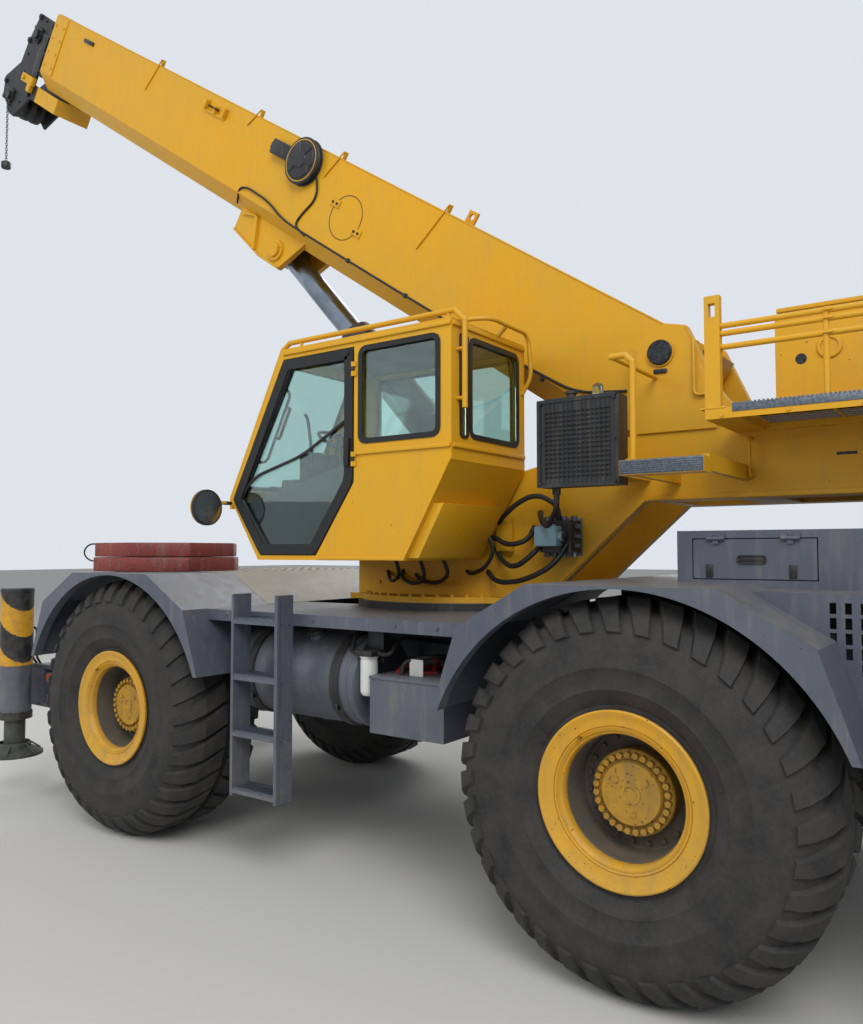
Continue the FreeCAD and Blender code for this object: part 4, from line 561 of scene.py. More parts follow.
def cab_panels():
    """Roof skin, gutter, folded sill strip and the edging of the slanted underside."""
    mesh = bmesh.new()
    block(mesh, -0.79, 0.43, 0.53, 1.25, 3.444, 3.470, 0.012)
    block(mesh, -0.55, 0.10, 0.64, 1.14, 3.468, 3.486, 0.010)
    block(mesh, -0.858, 0.505, 1.318, 1.334, 3.405, 3.432, 0.005)
    block(mesh, -0.874, -0.858, 0.47, 1.31, 3.405, 3.432, 0.005)
    block(mesh, -0.858, -0.135, 1.318, 1.336, 2.690, 2.716, 0.005)
    block(mesh, -0.874, -0.858, 0.47, 1.31, 2.690, 2.716, 0.005)
    plate(mesh, [(-0.52, 2.032), (-0.49, 2.032), (-0.832, 2.626), (-0.862, 2.620)], 1.312, 1.332)
    block(mesh, -0.50, 0.18, 1.312, 1.334, 2.032, 2.058, 0.005)
    plate(mesh, [(-0.525, 2.045), (-0.712, 2.370), (-0.790, 2.370), (-0.606, 2.045)], 0.60, 1.295,
          soft=0.004)
    ring_of_bolts(mesh, (-0.2, 0.89, 3.486), (0, 0, 1), 0.19, 8, 0.009, 0.006)
    piece("cab_panels", mesh, yellow_enamel, "upper")
    bent_tubes("rear_grab_rail", [
        [(-0.78, 1.08, 3.468), (-0.80, 1.06, 3.50), (-0.93, 1.00, 3.505), (-0.93, 0.53, 3.50),
         (-0.93, 0.49, 3.22), (-0.858, 0.49, 3.12)],
        [(-0.858, 0.80, 3.44), (-0.93, 0.80, 3.50)],
    ], 0.014, yellow_enamel, "upper", bend=0.07)


def cab_inside():
    """Dark trim on the walls, wheel on its column, pedals, levers and the console's top."""
    mesh = bmesh.new()
    block(mesh, -0.812, 0.44, 0.507, 1.273, 3.384, 3.403, 0.004)
    plate(mesh, [(-0.45, 2.10), (0.66, 2.10), (0.80, 2.40), (0.70, 2.755), (-0.79, 2.755),
                 (-0.79, 2.68)], 0.506, 0.512)
    block(mesh, -0.812, -0.806, 0.52, 1.262, 2.64, 2.755)
    block(mesh, -0.812, -0.806, 0.507, 0.545, 2.64, 3.39)
    block(mesh, -0.45, 0.68, 0.515, 1.262, 2.076, 2.083)
    block(mesh, -0.78, -0.14, 1.262, 1.272, 2.66, 2.755)
    piece("cab_trim", mesh, hose_rubber, "upper")
    mesh = bmesh.new()
    tilt = Vector((-0.5, 0, 0.866))
    hub = Vector((0.34, 0.89, 2.84))
    hoop(mesh, hub, tilt, 0.19, 0.013)
    bar(mesh, hub - tilt * 0.02, hub + tilt * 0.012, 0.05, 16)
    for turn in (0.3, 2.4, 4.5):
        out = Matrix.Rotation(turn, 3, tilt) @ Vector((0, 1, 0))
        bar(mesh, hub, hub + out * 0.185, 0.011, 8)
    bar(mesh, (0.56, 0.89, 2.50), hub - tilt * 0.02, 0.035, 16)
    block(mesh, 0.46, 0.64, 0.74, 1.04, 2.55, 2.78, 0.03)
    for y in (0.76, 0.89, 1.02):
        block(mesh, 0.38, 0.40, y - 0.04, y + 0.04, 2.10, 2.24, 0.008)
    for y in (0.60, 1.18):
        block(mesh, -0.36, 0.16, y - 0.05, y + 0.05, 2.50, 2.60, 0.02)
        bar(mesh, (0.10, y, 2.58), (0.13, y, 2.80), 0.010, 8)
        bar(mesh, (0.13, y, 2.78), (0.14, y, 2.86), 0.020, 12, 0.026)
    piece("cab_controls", mesh, black_enamel, "upper")


def crown(mesh, x0, x1, y0, y1, z0, z1, swell=0.35):
    """A closed cushion: sides that pull in between corners and a crowned face."""
    before = set(mesh.verts)
    made = bmesh.ops.create_cube(mesh, size=2)["verts"]
    edges = list({edge for vert in made for edge in vert.link_edges})
    bmesh.ops.subdivide_edges(mesh, edges=edges, cuts=7, use_grid_fill=True)
    middle = Vector(((x0 + x1) / 2, (y0 + y1) / 2, (z0 + z1) / 2))
    half = Vector(((x1 - x0) / 2, (y1 - y0) / 2, (z1 - z0) / 2))
    for vert in mesh.verts:
        if vert in before:
            continue
        a, b, c = vert.co
        pull = [1 - swell * (u * u + v * v) / 4 for u, v in ((b, c), (a, c), (a, b))]
        vert.co = middle + Vector((a * pull[0] * half.x, b * pull[1] * half.y,
                                   c * pull[2] * half.z))


def operator_seat():
    """Padded seat: cushion with two sewn bolsters, back and head pad, as one padded piece."""
    mesh = bmesh.new()
    crown(mesh, -0.40, 0.08, 0.74, 1.04, 2.385, 2.500)
    crown(mesh, -0.38, 0.07, 0.665, 0.755, 2.390, 2.525)
    crown(mesh, -0.38, 0.07, 1.025, 1.115, 2.390, 2.525)
    crown(mesh, -0.515, -0.39, 0.74, 1.04, 2.47, 2.82)
    crown(mesh, -0.500, -0.355, 0.67, 0.76, 2.49, 2.80)
    crown(mesh, -0.500, -0.355, 1.02, 1.11, 2.49, 2.80)
    crown(mesh, -0.505, -0.395, 0.77, 1.01, 2.835, 2.970)
    seat = piece("operator_seat_pads", mesh, seat_cloth, "upper", smooth=180,
                 replaces=["operator_seat"])
    soft = seat.modifiers.new("soft", "SUBSURF")
    soft.levels = soft.render_levels = 1


def mirror():
    """Round mirror in its black shell on the grab rail."""
    mesh = bmesh.new()
    turned(mesh, ((0.0, 0.030), (0.05, 0.028), (0.10, 0.018), (0.124, 0.0), (0.1245, -0.024),
                  (0.116, -0.026), (0.114, -0.0205), (0.0, -0.0205)), (1.072, 1.50, 2.39),
           (1, 0, 0), 48)
    bar(mesh, (1.075, 1.265, 2.43), (1.085, 1.50, 2.43), 0.0135, 12)
    bar(mesh, (1.09, 1.50, 2.37), (1.09, 1.50, 2.445), 0.014, 12)
    piece("mirror_shell", mesh, black_enamel, "upper")
    mesh = bmesh.new()
    turned(mesh, ((0.0, -0.0225), (0.113, -0.0215), (0.113, -0.0207), (0.0, -0.0207)),
           (1.072, 1.50, 2.39), (1, 0, 0), 48)
    piece("mirror_glass", mesh, mirror_glass, "upper")


# Boom


def boom_fittings():
    """Seam ring, clamps, guide brackets, nose collar and weld beads on the base section."""
    mesh = bmesh.new()
    for side in (1, -1):
        wall = 0.300 * side
        out = Vector((0, side, 0))
        for along, up in ((3.20, -0.165), (2.85, -0.29)):
            block(mesh, along - 0.055, along + 0.055, min(wall, wall + 0.010 * side),
                  max(wall, wall + 0.010 * side), up - 0.030, up + 0.030, 0.003)
        # guide bracket: a bar with three prongs
        for low, high, x0, x1 in ((0.0, 0.09, 4.96, 4.985), (0.0, 0.07, 5.10, 5.12),
                                  (0.0, 0.09, 5.265, 5.29)):
            block(mesh, x0, x1, min(wall, wall + 0.045 * side), max(wall, wall + 0.045 * side),
                  low, high, 0.003)
        block(mesh, 4.96, 5.29, min(wall, wall + 0.014 * side), max(wall, wall + 0.014 * side),
              -0.012, 0.012, 0.003)
        # collar around the nose with its row of screws, and the weld beads along the corners
        for along in (8.26, 8.44):
            for up in (-0.40, -0.25, -0.10, 0.04):
                seat = Vector((along, 0.310 * side, up))
                bar(mesh, seat, seat + out * 0.010, 0.013, 6)
        bar(mesh, (-0.12, 0.2995 * side, 0.1595), (8.22, 0.2995 * side, 0.1595), 0.006, 6)
        bar(mesh, (-0.12, 0.2995 * side, -0.4995), (8.22, 0.2995 * side, -0.4995), 0.006, 6)
        block(mesh, 8.216, 8.230, min(wall, wall + 0.012 * side), max(wall, wall + 0.012 * side),
              -0.485, 0.145, 0.002)
    block(mesh, 8.23, 8.488, -0.285, 0.285, 0.158, 0.170, 0.003)
    for along, foot in ((2.1, -0.17), (3.34, -0.03), (4.52, 0.05), (6.24, -0.11)):
        block(mesh, along - 0.006, along + 0.006, 0.262, 0.300, 0.155, 0.225, 0.002)
        bar(mesh, (along, 0.307, 0.22), (along + 0.11, 0.307, foot), 0.007, 8)
    piece("boom_fittings", mesh, yellow_enamel, "boom_base", boom_place())
    mesh = bmesh.new()
    block(mesh, 7.56, 7.76, 0.3, 0.318, 0.02, 0.06, 0.003)
    for along in (5.10, 5.20):
        bar(mesh, (along, 0.30, 0.045), (along, 0.352, 0.045), 0.009, 8)
    for side in (1, -1):
        out = Vector((0, side, 0))
        hoop(mesh, (3.03, 0.3 * side, -0.23), out, 0.178, 0.0035, 56, 6)
        for along, up in ((3.20, -0.165), (2.85, -0.29)):
            for away in (-0.025, 0.025):
                seat = Vector((along + away, 0.309 * side, up))
                bar(mesh, seat, seat + out * 0.010, 0.011, 6)
    piece("boom_switches", mesh, black_enamel, "boom_base", boom_place())


def cable_reel():
    """Spring reel for the length cable, its guard box and the cable along the boom."""
    mesh = bmesh.new()
    centre = Vector((3.715, 0, 0))
    turned(mesh, ((0.0, 0.3005), (0.192, 0.3005), (0.196, 0.306), (0.192, 0.312), (0.178, 0.314),
                  (0.176, 0.322), (0.180, 0.328), (0.176, 0.334), (0.180, 0.340), (0.176, 0.346),
                  (0.176, 0.352), (0.192, 0.354), (0.196, 0.360), (0.192, 0.366), (0.15, 0.373),
                  (0.145, 0.380), (0.07, 0.384), (0.064, 0.392), (0.0, 0.394)), centre,
           (0, 1, 0), 56)
    for turn in range(6):
        out = Matrix.Rotation(math.tau * turn / 6, 3, "Y") @ Vector((1, 0, 0))
        bar(mesh, centre + out * 0.06 + Vector((0, 0.386, 0)),
            centre + out * 0.15 + Vector((0, 0.379, 0)), 0.008, 6)
    block(mesh, 3.84, 4.15, 0.300, 0.359, -0.064, 0.064, 0.010)
    block(mesh, 3.90, 4.10, 0.357, 0.366, -0.045, 0.045, 0.005)
    block(mesh, 4.14, 4.19, 0.300, 0.335, -0.030, 0.030, 0.006)
    piece("cable_reel", mesh, black_enamel, "boom_base", boom_place())
    bent_tubes("boom_hoses", [
        [(4.42, 0.250, -0.590), (4.40, 0.312, -0.46), (4.30, 0.312, -0.42), (3.96, 0.312, -0.43),
         (3.72, 0.312, -0.50), (3.40, 0.309, -0.508), (2.4, 0.309, -0.512), (1.1, 0.309, -0.508),
         (0.42, 0.312, -0.47), (0.12, 0.314, -0.30)],
        [(3.38, 0.309, -0.522), (3.54, 0.309, -0.49), (3.52, 0.309, -0.40), (3.42, 0.309, -0.20),
         (3.52, 0.312, -0.06)],
        [(4.36, -0.312, -0.50), (3.4, -0.316, -0.47), (1.0, -0.312, -0.50), (0.4, -0.316, -0.4)],
    ], 0.009, hose_rubber, "boom_base", boom_place(), 0.12)
    mesh = bmesh.new()
    for side in (1, -1):
        for along in (0.7, 1.4, 2.1, 2.8):
            block(mesh, along - 0.012, along + 0.012, min(0.299 * side, 0.321 * side),
                  max(0.299 * side, 0.321 * side), -0.528, -0.492, 0.003)
    piece("hose_clips", mesh, black_enamel, "boom_base", boom_place())


def boom_bracket():
    """Rim and inner rib of the cylinder's bracket, its pin's keepers and the rubber stop."""
    mesh = bmesh.new()
    for side in (1, -1):
        y0, y1 = sorted((0.200 * side, 0.216 * side))
        for a, b in (((3.43, -0.585), (3.63, -0.893)), ((3.63, -0.893), (3.95, -0.893)),
                     ((3.95, -0.893), (4.385, -0.815))):
            run = (Vector((b[0], 0, b[1])) - Vector((a[0], 0, a[1]))).normalized()
            away = Vector((run.z, 0, -run.x)) * 0.016
            plate(mesh, [a, b, (b[0] - away.x, b[1] - away.z), (a[0] - away.x, a[1] - away.z)],
                  y0, y1)
        seat = Vector((3.75, 0.237 * side, -0.77))
        block(mesh, 3.70, 3.80, *sorted((0.236 * side, 0.246 * side)), -0.745, -0.715, 0.003)
        bar(mesh, seat, seat + Vector((0, 0.006 * side, 0)), 0.058, 32)
        # stiffener rib folded out of the bracket's side
        plate(mesh, [(4.00, -0.86), (4.03, -0.86), (4.16, -0.60), (4.12, -0.60)],
              0.202 * side, 0.232 * side)
        plate(mesh, [(4.12, -0.60), (4.16, -0.60), (4.33, -0.62), (4.33, -0.65)],
              0.202 * side, 0.226 * side)
    block(mesh, 4.22, 4.24, -0.16, 0.16, -0.80, -0.62, 0.004)
    block(mesh, 3.98, 4.0, -0.16, 0.16, -0.86, -0.66, 0.004)
    piece("bracket_rims", mesh, yellow_enamel, "boom_base", boom_place())
    mesh = bmesh.new()
    for along in (4.29, 4.35):
        block(mesh, along - 0.02, along + 0.02, -0.15, 0.15, -0.83, -0.74, 0.012)
    piece("bracket_bumper", mesh, hose_rubber, "boom_base", boom_place())


def sheave_head():
    """Pin ends with keepers, rope guards, rims of the head's plates and its rubber rollers."""
    mesh = bmesh.new()
    start = 8.68
    for share, drop in ((0.658, 1.3625), (0.38, 0.3875)):
        along, up = start + 0.79 * share, 0.16 - 0.80 * drop
        for side in (1, -1):
            seat = Vector((along, 0.208 * side, up))
            out = Vector((0, side, 0))
            bar(mesh, seat, seat + out * 0.022, 0.095, 32)
            bar(mesh, seat, seat + out * 0.05, 0.052, 24)
            block(mesh, along - 0.10, along + 0.10, min(0.228 * side, 0.24 * side),
                  max(0.228 * side, 0.24 * side), up + 0.052, up + 0.082, 0.003)
            ring_of_bolts(mesh, seat + out * 0.022, out, 0.075, 8, 0.010, 0.010)
        # grooved rims of the three sheaves
        for y in (-0.12, 0, 0.12):
            turned(mesh, ((0.196, -0.030), (0.2095, -0.030), (0.206, -0.016), (0.199, -0.006),
                          (0.199, 0.006), (0.206, 0.016), (0.2095, 0.030), (0.196, 0.030),
                          (0.196, -0.030)), (along, y, up), (0, 1, 0), 40)
    for along, up in ((8.71, 0.02), (9.05, 0.045), (9.15, -0.25), (9.41, -0.80), (9.34, -0.97),
                      (8.80, -0.80)):
        bar(mesh, (along, -0.232, up), (along, 0.232, up), 0.019, 12)
        for side in (1, -1):
            bar(mesh, (along, 0.21 * side, up), (along, 0.228 * side, up), 0.034, 6)
    for side in (1, -1):
        for along, up in ((8.70, -0.10), (8.70, -0.30), (8.70, -0.50), (8.90, 0.03),
                          (9.10, -0.40), (9.06, -0.60), (8.85, -0.70), (8.96, -0.94)):
            seat = Vector((along, 0.209 * side, up))
            bar(mesh, seat, seat + Vector((0, 0.012 * side, 0)), 0.016, 6)
        y0, y1 = sorted((0.209 * side, 0.222 * side))
        block(mesh, 8.72, 8.86, y0, y1, -0.60, -0.10, 0.004)
    piece("sheave_head_fittings", mesh, black_enamel, "boom_tip", boom_place())
    mesh = bmesh.new()
    for side in (1, -1):
        y0, y1 = sorted((0.209 * side, 0.262 * side))
        block(mesh, 8.70, 8.98, y0, y1, -0.70, -0.60, 0.010)
        block(mesh, 8.72, 8.80, y0, y1, -0.78, -0.69, 0.010)
        bar(mesh, (8.90, 0.255 * side, -0.65), (8.90, 0.285 * side, -0.65), 0.026, 12)
    piece("nose_latches", mesh, yellow_enamel, "boom_tip", boom_place())


def limit_chain():
    """Chain of oval links with the weight that trips the hoist's limit switch."""
    low, high = [Vector(corner) + Vector((ORIGIN_X, 0, 0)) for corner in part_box("hoist_limit_weight")]
    x, y = (low.x + high.x) / 2, high.y - 0.055
    mesh = bmesh.new()
    top, foot = high.z - 0.015, low.z + 0.09
    count = 22
    pitch = (top - foot) / count
    bar(mesh, (x, low.y, high.z - 0.012), (x, y + 0.01, high.z - 0.012), 0.009, 12)
    for k in range(count):
        before = set(mesh.verts)
        hoop(mesh, (0, 0, 0), (1, 0, 0) if k % 2 else (0, 1, 0), 0.0125, 0.0035, 16, 6)
        link = [vert for vert in mesh.verts if vert not in before]
        bmesh.ops.scale(mesh, verts=link, vec=(1, 1, (pitch * 0.5 + 0.004) / 0.0125))
        bmesh.ops.translate(mesh, verts=link, vec=(x, y, top - pitch * (k + 0.5)))
    turned(mesh, ((0.0, 0.092), (0.02, 0.090), (0.03, 0.078), (0.053, 0.07), (0.055, 0.062),
                  (0.055, 0.008), (0.050, 0.0), (0.0, 0.0)), (x, y, low.z), (0, 0, 1), 32)
    piece("limit_chain_and_weight", mesh, black_enamel, "limit_weight",
          replaces=["hoist_limit_weight"])


def lift_cylinder_fittings():
    """Gland with its screws on the barrel, its end seam and oil pipes."""
    eye = Vector((-1.78 + 3.75 * math.cos(math.radians(BOOM_ANGLE)) + 0.77 * math.sin(math.radians(BOOM_ANGLE)), 0,
                  3.28 + 3.75 * math.sin(math.radians(BOOM_ANGLE)) - 0.77 * math.cos(math.radians(BOOM_ANGLE))))
    foot = Vector((-0.62, 0, 2.12))
    axis = (eye - foot).normalized()
    mesh = bmesh.new()
    turned(mesh, ((0.155, 2.24), (0.1565, 2.25), (0.1565, 2.385), (0.152, 2.395), (0.140, 2.404),
                  (0.100, 2.404)), foot, axis, 40)
    ring_of_bolts(mesh, foot + axis * 2.402, axis, 0.128, 12, 0.012, 0.012)
    for along in (0.32, 1.95):
        hoop(mesh, foot + axis * along, axis, 0.151, 0.006, 40, 6)
    piece("cylinder_gland", mesh, black_enamel, "lift_barrel")
    side = Vector((0, 1, 0))
    up = axis.cross(side)
    bent_tubes("cylinder_pipes", [
        [foot + axis * 0.5 + side * 0.155, foot + axis * 0.5 + side * 0.178,
         foot + axis * 2.1 + side * 0.178, foot + axis * 2.1 + side * 0.150],
        [foot + axis * 0.45 - up * 0.150, foot + axis * 0.45 - up * 0.172,
         foot + axis * 0.9 - up * 0.172, foot + axis * 0.9 - up * 0.148],
    ], 0.012, black_enamel, "lift_barrel")


# Turret, walkway and hoists


def turret_fittings():
    """Boom pin's covers and keepers, lifting rings, plate edges and bolts of the turret."""
    mesh = bmesh.new()
    for side in (1, -1):
        out = Vector((0, side, 0))
        turned(mesh, ((0.0, 0.0), (0.076, 0.0), (0.076, 0.008), (0.070, 0.014), (0.0, 0.014)),
               (-1.78, 0.4475 * side, 3.28), out, 40)
        block(mesh, -1.82, -1.74, *sorted((0.436 * side, 0.450 * side)), 3.155, 3.180, 0.003)
        bar(mesh, (-2.555, 0.374 * side, 3.15), (-2.555, 0.3765 * side, 3.15), 0.030, 24)
        for x in (-3.02, -2.78):
            y0, y1 = sorted((0.4195 * side, 0.4215 * side))
            block(mesh, x - 0.05, x + 0.05, y0, y1, 2.60, 2.616)
    piece("boom_pin_covers", mesh, pin_steel, "upper")
    mesh = bmesh.new()
    for side in (1, -1):
        out = Vector((0, side, 0))
        y0, y1 = sorted((0.374 * side, 0.384 * side))
        for x in (-2.70, -3.42):
            turned(mesh, ((0.0, 0.0), (0.066, 0.0), (0.066, 0.006), (0.060, 0.012), (0.046, 0.012),
                          (0.044, 0.004), (0.0, 0.004)), (x, 0.3755 * side, 3.2), out, 36)
        block(mesh, -3.88, -2.43, y0, y1, 3.424, 3.448, 0.004)
        y0, y1 = sorted((0.419 * side, 0.432 * side))
        # folded edge along the tail's foot and the swept front edge
        block(mesh, -3.24, -1.69, y0, y1, 2.392, 2.422, 0.004)
        plate(mesh, [(-1.672, 2.394), (-1.655, 2.424), (-0.985, 1.796), (-0.955, 1.752)], y0, y1)
        for x in (-2.38, -2.60, -2.90, -3.15):
            seat = Vector((x, 0.42 * side, 2.87))
            bar(mesh, seat, seat + out * 0.010, 0.013, 6)
        for x, z in ((-0.85, 1.86), (-0.6, 1.86), (-0.3, 1.86), (0.1, 1.86), (0.4, 1.86)):
            seat = Vector((x, 0.42 * side, z))
            bar(mesh, seat, seat + out * 0.012, 0.015, 6)
    ring_of_bolts(mesh, (-0.05, 0, 1.778), (0, 0, 1), 0.70, 44, 0.013, 0.018)
    piece("turret_fittings", mesh, yellow_enamel, "upper")
    bent_tubes("cheek_rods", [
        [(-1.985, 0.436, 3.33), (-1.985, 0.452, 3.32), (-1.985, 0.452, 3.0),
         (-2.05, 0.452, 3.0), (-2.055, 0.436, 3.0)],
        [(-2.30, 0.42, 2.50), (-2.30, 0.49, 2.50), (-2.30, 0.49, 2.72), (-2.30, 0.42, 2.72)],
    ], 0.009, yellow_enamel, "upper", bend=0.03)


def cooler_fittings():
    """Frame, filler cap and clear level cup of the oil cooler, and its hoses."""
    mesh = bmesh.new()
    gasket(mesh, rectangle(-1.768, -1.272, 2.447, 2.948), 0.020, 1.046, 1.056, 0.010)
    for x in [-1.745 + 0.028 * k for k in range(17)]:
        block(mesh, x - 0.0015, x + 0.0015, 1.0475, 1.0535, 2.455, 2.94)
    for x, z in ((-1.745, 2.47), (-1.295, 2.47), (-1.745, 2.925), (-1.295, 2.925),
                 (-1.745, 2.70), (-1.295, 2.70)):
        bar(mesh, (x, 1.054, z), (x, 1.064, z), 0.010, 6)
    block(mesh, -1.73, -1.31, 0.93, 1.04, 2.944, 2.956, 0.004)
    bar(mesh, (-1.46, 0.985, 2.95), (-1.46, 0.985, 2.985), 0.026, 20)
    bar(mesh, (-1.46, 0.985, 2.98), (-1.46, 0.985, 2.995), 0.036, 20)
    bar(mesh, (-1.36, 0.985, 2.41), (-1.36, 0.985, 2.455), 0.024, 6)
    piece("cooler_frame", mesh, black_enamel, "upper")
    mesh = bmesh.new()
    turned(mesh, ((0.0, 0.0), (0.030, 0.0), (0.032, 0.012), (0.030, 0.055), (0.020, 0.066),
                  (0.0, 0.068)), (-1.62, 0.985, 2.955), (0, 0, 1), 24)
    piece("cooler_level_cup", mesh, window_glass, "upper")
    bent_tubes("cooler_hoses", [
        [(-1.36, 0.985, 2.43), (-1.36, 0.985, 2.33), (-1.20, 0.80, 2.22), (-1.08, 0.66, 2.30),
         (-1.00, 0.50, 2.34), (-0.95, 0.42, 2.34)],
        [(-1.05, 0.56, 2.14), (-0.98, 0.62, 2.05), (-0.86, 0.60, 1.98), (-0.72, 0.52, 2.02),
         (-0.62, 0.42, 2.10)],
        [(-1.22, 0.56, 2.14), (-1.16, 0.64, 2.00), (-0.95, 0.64, 1.90), (-0.70, 0.56, 1.88),
         (-0.55, 0.42, 1.95)],
        [(-1.13, 0.50, 2.28), (-1.13, 0.52, 2.38), (-0.98, 0.52, 2.46), (-0.84, 0.54, 2.40),
         (-0.70, 0.50, 2.30), (-0.62, 0.42, 2.26)],
        [(-0.92, 0.44, 2.25), (-0.92, 0.52, 2.16), (-0.78, 0.55, 2.12), (-0.64, 0.52, 2.20),
         (-0.50, 0.44, 2.10)],
    ], 0.017, hose_rubber, "upper", bend=0.10)
    bent_tubes("cab_hoses", [
        [(-0.30, 0.60, 2.035), (-0.34, 0.58, 1.93), (-0.20, 0.52, 1.86), (0.0, 0.46, 1.88),
         (0.06, 0.42, 1.92)],
        [(-0.12, 0.62, 2.035), (-0.16, 0.60, 1.90), (0.0, 0.54, 1.85), (0.16, 0.46, 1.90),
         (0.18, 0.42, 1.95)],
        [(0.08, 0.64, 2.035), (0.05, 0.62, 1.92), (0.2, 0.54, 1.86), (0.32, 0.42, 1.94)],
        [(-0.62, 0.62, 2.25), (-0.72, 0.60, 2.12), (-0.62, 0.55, 1.98), (-0.45, 0.48, 1.93),
         (-0.38, 0.42, 1.95)],
    ], 0.014, hose_rubber, "upper", bend=0.09)


def valve_fittings():
    """Blue solenoid cover, fittings and spools of the valve block."""
    mesh = bmesh.new()
    block(mesh, -1.190, -1.034, 0.572, 0.664, 2.118, 2.244, 0.012)
    bar(mesh, (-1.19, 0.62, 2.18), (-1.215, 0.62, 2.18), 0.030, 20)
    block(mesh, -1.16, -1.06, 0.600, 0.645, 2.242, 2.256, 0.005)
    piece("solenoid_cover", mesh, valve_blue, "upper")
    mesh = bmesh.new()
    for x in (-1.235, -1.165, -1.095, -1.045):
        bar(mesh, (x, 0.50, 2.279), (x, 0.50, 2.31), 0.018, 6)
        bar(mesh, (x, 0.50, 2.05), (x, 0.50, 2.081), 0.018, 6)
    for z in (2.12, 2.18, 2.24):
        bar(mesh, (-1.245, 0.50, z), (-1.275, 0.50, z), 0.017, 6)
    block(mesh, -1.255, -1.02, 0.4195, 0.428, 2.06, 2.30, 0.003)
    piece("valve_fittings", mesh, zinc_steel, "upper")


def step_and_walkway():
    """Ribbed tread on the side step, serrated grating of the walkway and its rail clamps."""
    mesh = bmesh.new()
    block(mesh, -2.283, -1.852, 1.249, 1.254, 2.478, 2.549, 0.002)
    for z in (2.486, 2.497, 2.508, 2.519, 2.530, 2.541):
        bar(mesh, (-2.281, 1.2545, z), (-1.854, 1.2545, z), 0.0030, 6)
    for k in range(9):
        y = 1.150 + 0.0115 * k
        bar(mesh, (-2.281, y, 2.5505), (-1.854, y, 2.5505), 0.0030, 6)
    piece("side_step_tread", mesh, zinc_steel, "upper")
    mesh = bmesh.new()
    x0, x1, z = -3.235, -2.385, 2.818
    for k in range(15):
        y = 0.462 + 0.037 * k
        block(mesh, x0, x1, y - 0.002, y + 0.002, z - 0.022, z + 0.012)
    for k in range(22):
        x = x0 + 0.02 + 0.0385 * k
        block(mesh, x - 0.002, x + 0.002, 0.45, 0.985, z - 0.006, z + 0.006)
    block(mesh, -3.245, -2.352, 0.994, 1.0035, 2.790, 2.832, 0.002)
    for k in range(44):
        x = -3.235 + 0.0203 * k
        block(mesh, x - 0.005, x + 0.005, 0.9935, 1.0045, 2.826, 2.838, 0.0015)
    piece("walkway_grating", mesh, zinc_steel, "upper")
    mesh = bmesh.new()
    for x in (-2.80, -3.17):
        for z in (3.24, 3.20, 3.13):
            block(mesh, x - 0.022, x + 0.022, 0.953, 0.998, z - 0.006, z + 0.006, 0.003)
    for x in (-2.30, -2.62, -2.95, -3.2):
        bar(mesh, (x, 0.999, 2.775), (x, 1.008, 2.775), 0.009, 6)
    block(mesh, -2.32, -2.19, 0.93, 1.003, 2.812, 2.822, 0.003)
    piece("walkway_clamps", mesh, yellow_enamel, "upper")


def hoist_drum(name, x):
    """Drum with its flanges, the spooled wire rope and the hub of its gear case."""
    mesh = bmesh.new()
    turned(mesh, ((0.0, -0.330), (0.10, -0.330), (0.11, -0.345), (0.058, -0.348), (0.058, -0.372),
                  (0.0, -0.372)), (x, 0, 3.2), (0, 1, 0), 40)
    turned(mesh, ((0.0, 0.330), (0.12, 0.330), (0.12, 0.343), (0.058, 0.345), (0.058, 0.372),
                  (0.0, 0.372)), (x, 0, 3.2), (0, 1, 0), 40)
    for side in (1, -1):
        turned(mesh, ((0.10, 0.300 * side), (0.255, 0.300 * side), (0.259, 0.306 * side),
                      (0.259, 0.320 * side), (0.255, 0.325 * side), (0.10, 0.328 * side),
                      (0.10, 0.300 * side)), (x, 0, 3.2), (0, 1, 0), 56)
        ring_of_bolts(mesh, (x, 0.325 * side, 3.2), (0, side, 0), 0.16, 10, 0.011, 0.010)
    piece(f"{name}_hoist_flanges", mesh, black_enamel, f"{name}_hoist",
          replaces=[f"{name}_hoist_drum"])
    mesh = bmesh.new()
    turns = 29
    rows = [(0.196, -0.2995)]
    for k in range(turns):
        y = -0.2995 + 0.599 * (k + 0.5) / turns
        rows += [(0.198, y - 0.009), (0.2065, y - 0.004), (0.2065, y + 0.004), (0.198, y + 0.009)]
    rows += [(0.196, 0.2995), (0.05, 0.2995), (0.05, -0.2995), (0.196, -0.2995)]
    turned(mesh, rows, (x, 0, 3.2), (0, 1, 0), 48)
    piece(f"{name}_hoist_rope", mesh, pin_steel, f"{name}_hoist")


def counterweight_fittings():
    """Seams of the slabs, lifting eyes and the tie bolts of the counterweight."""
    mesh = bmesh.new()
    for side in (1, -1):
        out = Vector((0, side, 0))
        y0, y1 = sorted((1.149 * side, 1.156 * side))
        for x in (-3.45, -3.87):
            block(mesh, x, x + 0.012, y0, y1, 2.40, 2.83, 0.002)
        for x in (-3.35, -3.66, -3.97):
            seat = Vector((x, 1.15 * side, 2.62))
            bar(mesh, seat, seat + out * 0.018, 0.024, 6)
        for x in (-3.45, -3.9):
            hoop(mesh, (x, 0.85 * side, 2.862), (0, 1, 0), 0.034, 0.011, 24, 8)
    for y in (-0.3, 0.3):
        hoop(mesh, (-4.0, y, 3.022), (0, 1, 0), 0.034, 0.011, 24, 8)
    piece("counterweight_fittings", mesh, yellow_enamel, "upper")


# Carrier


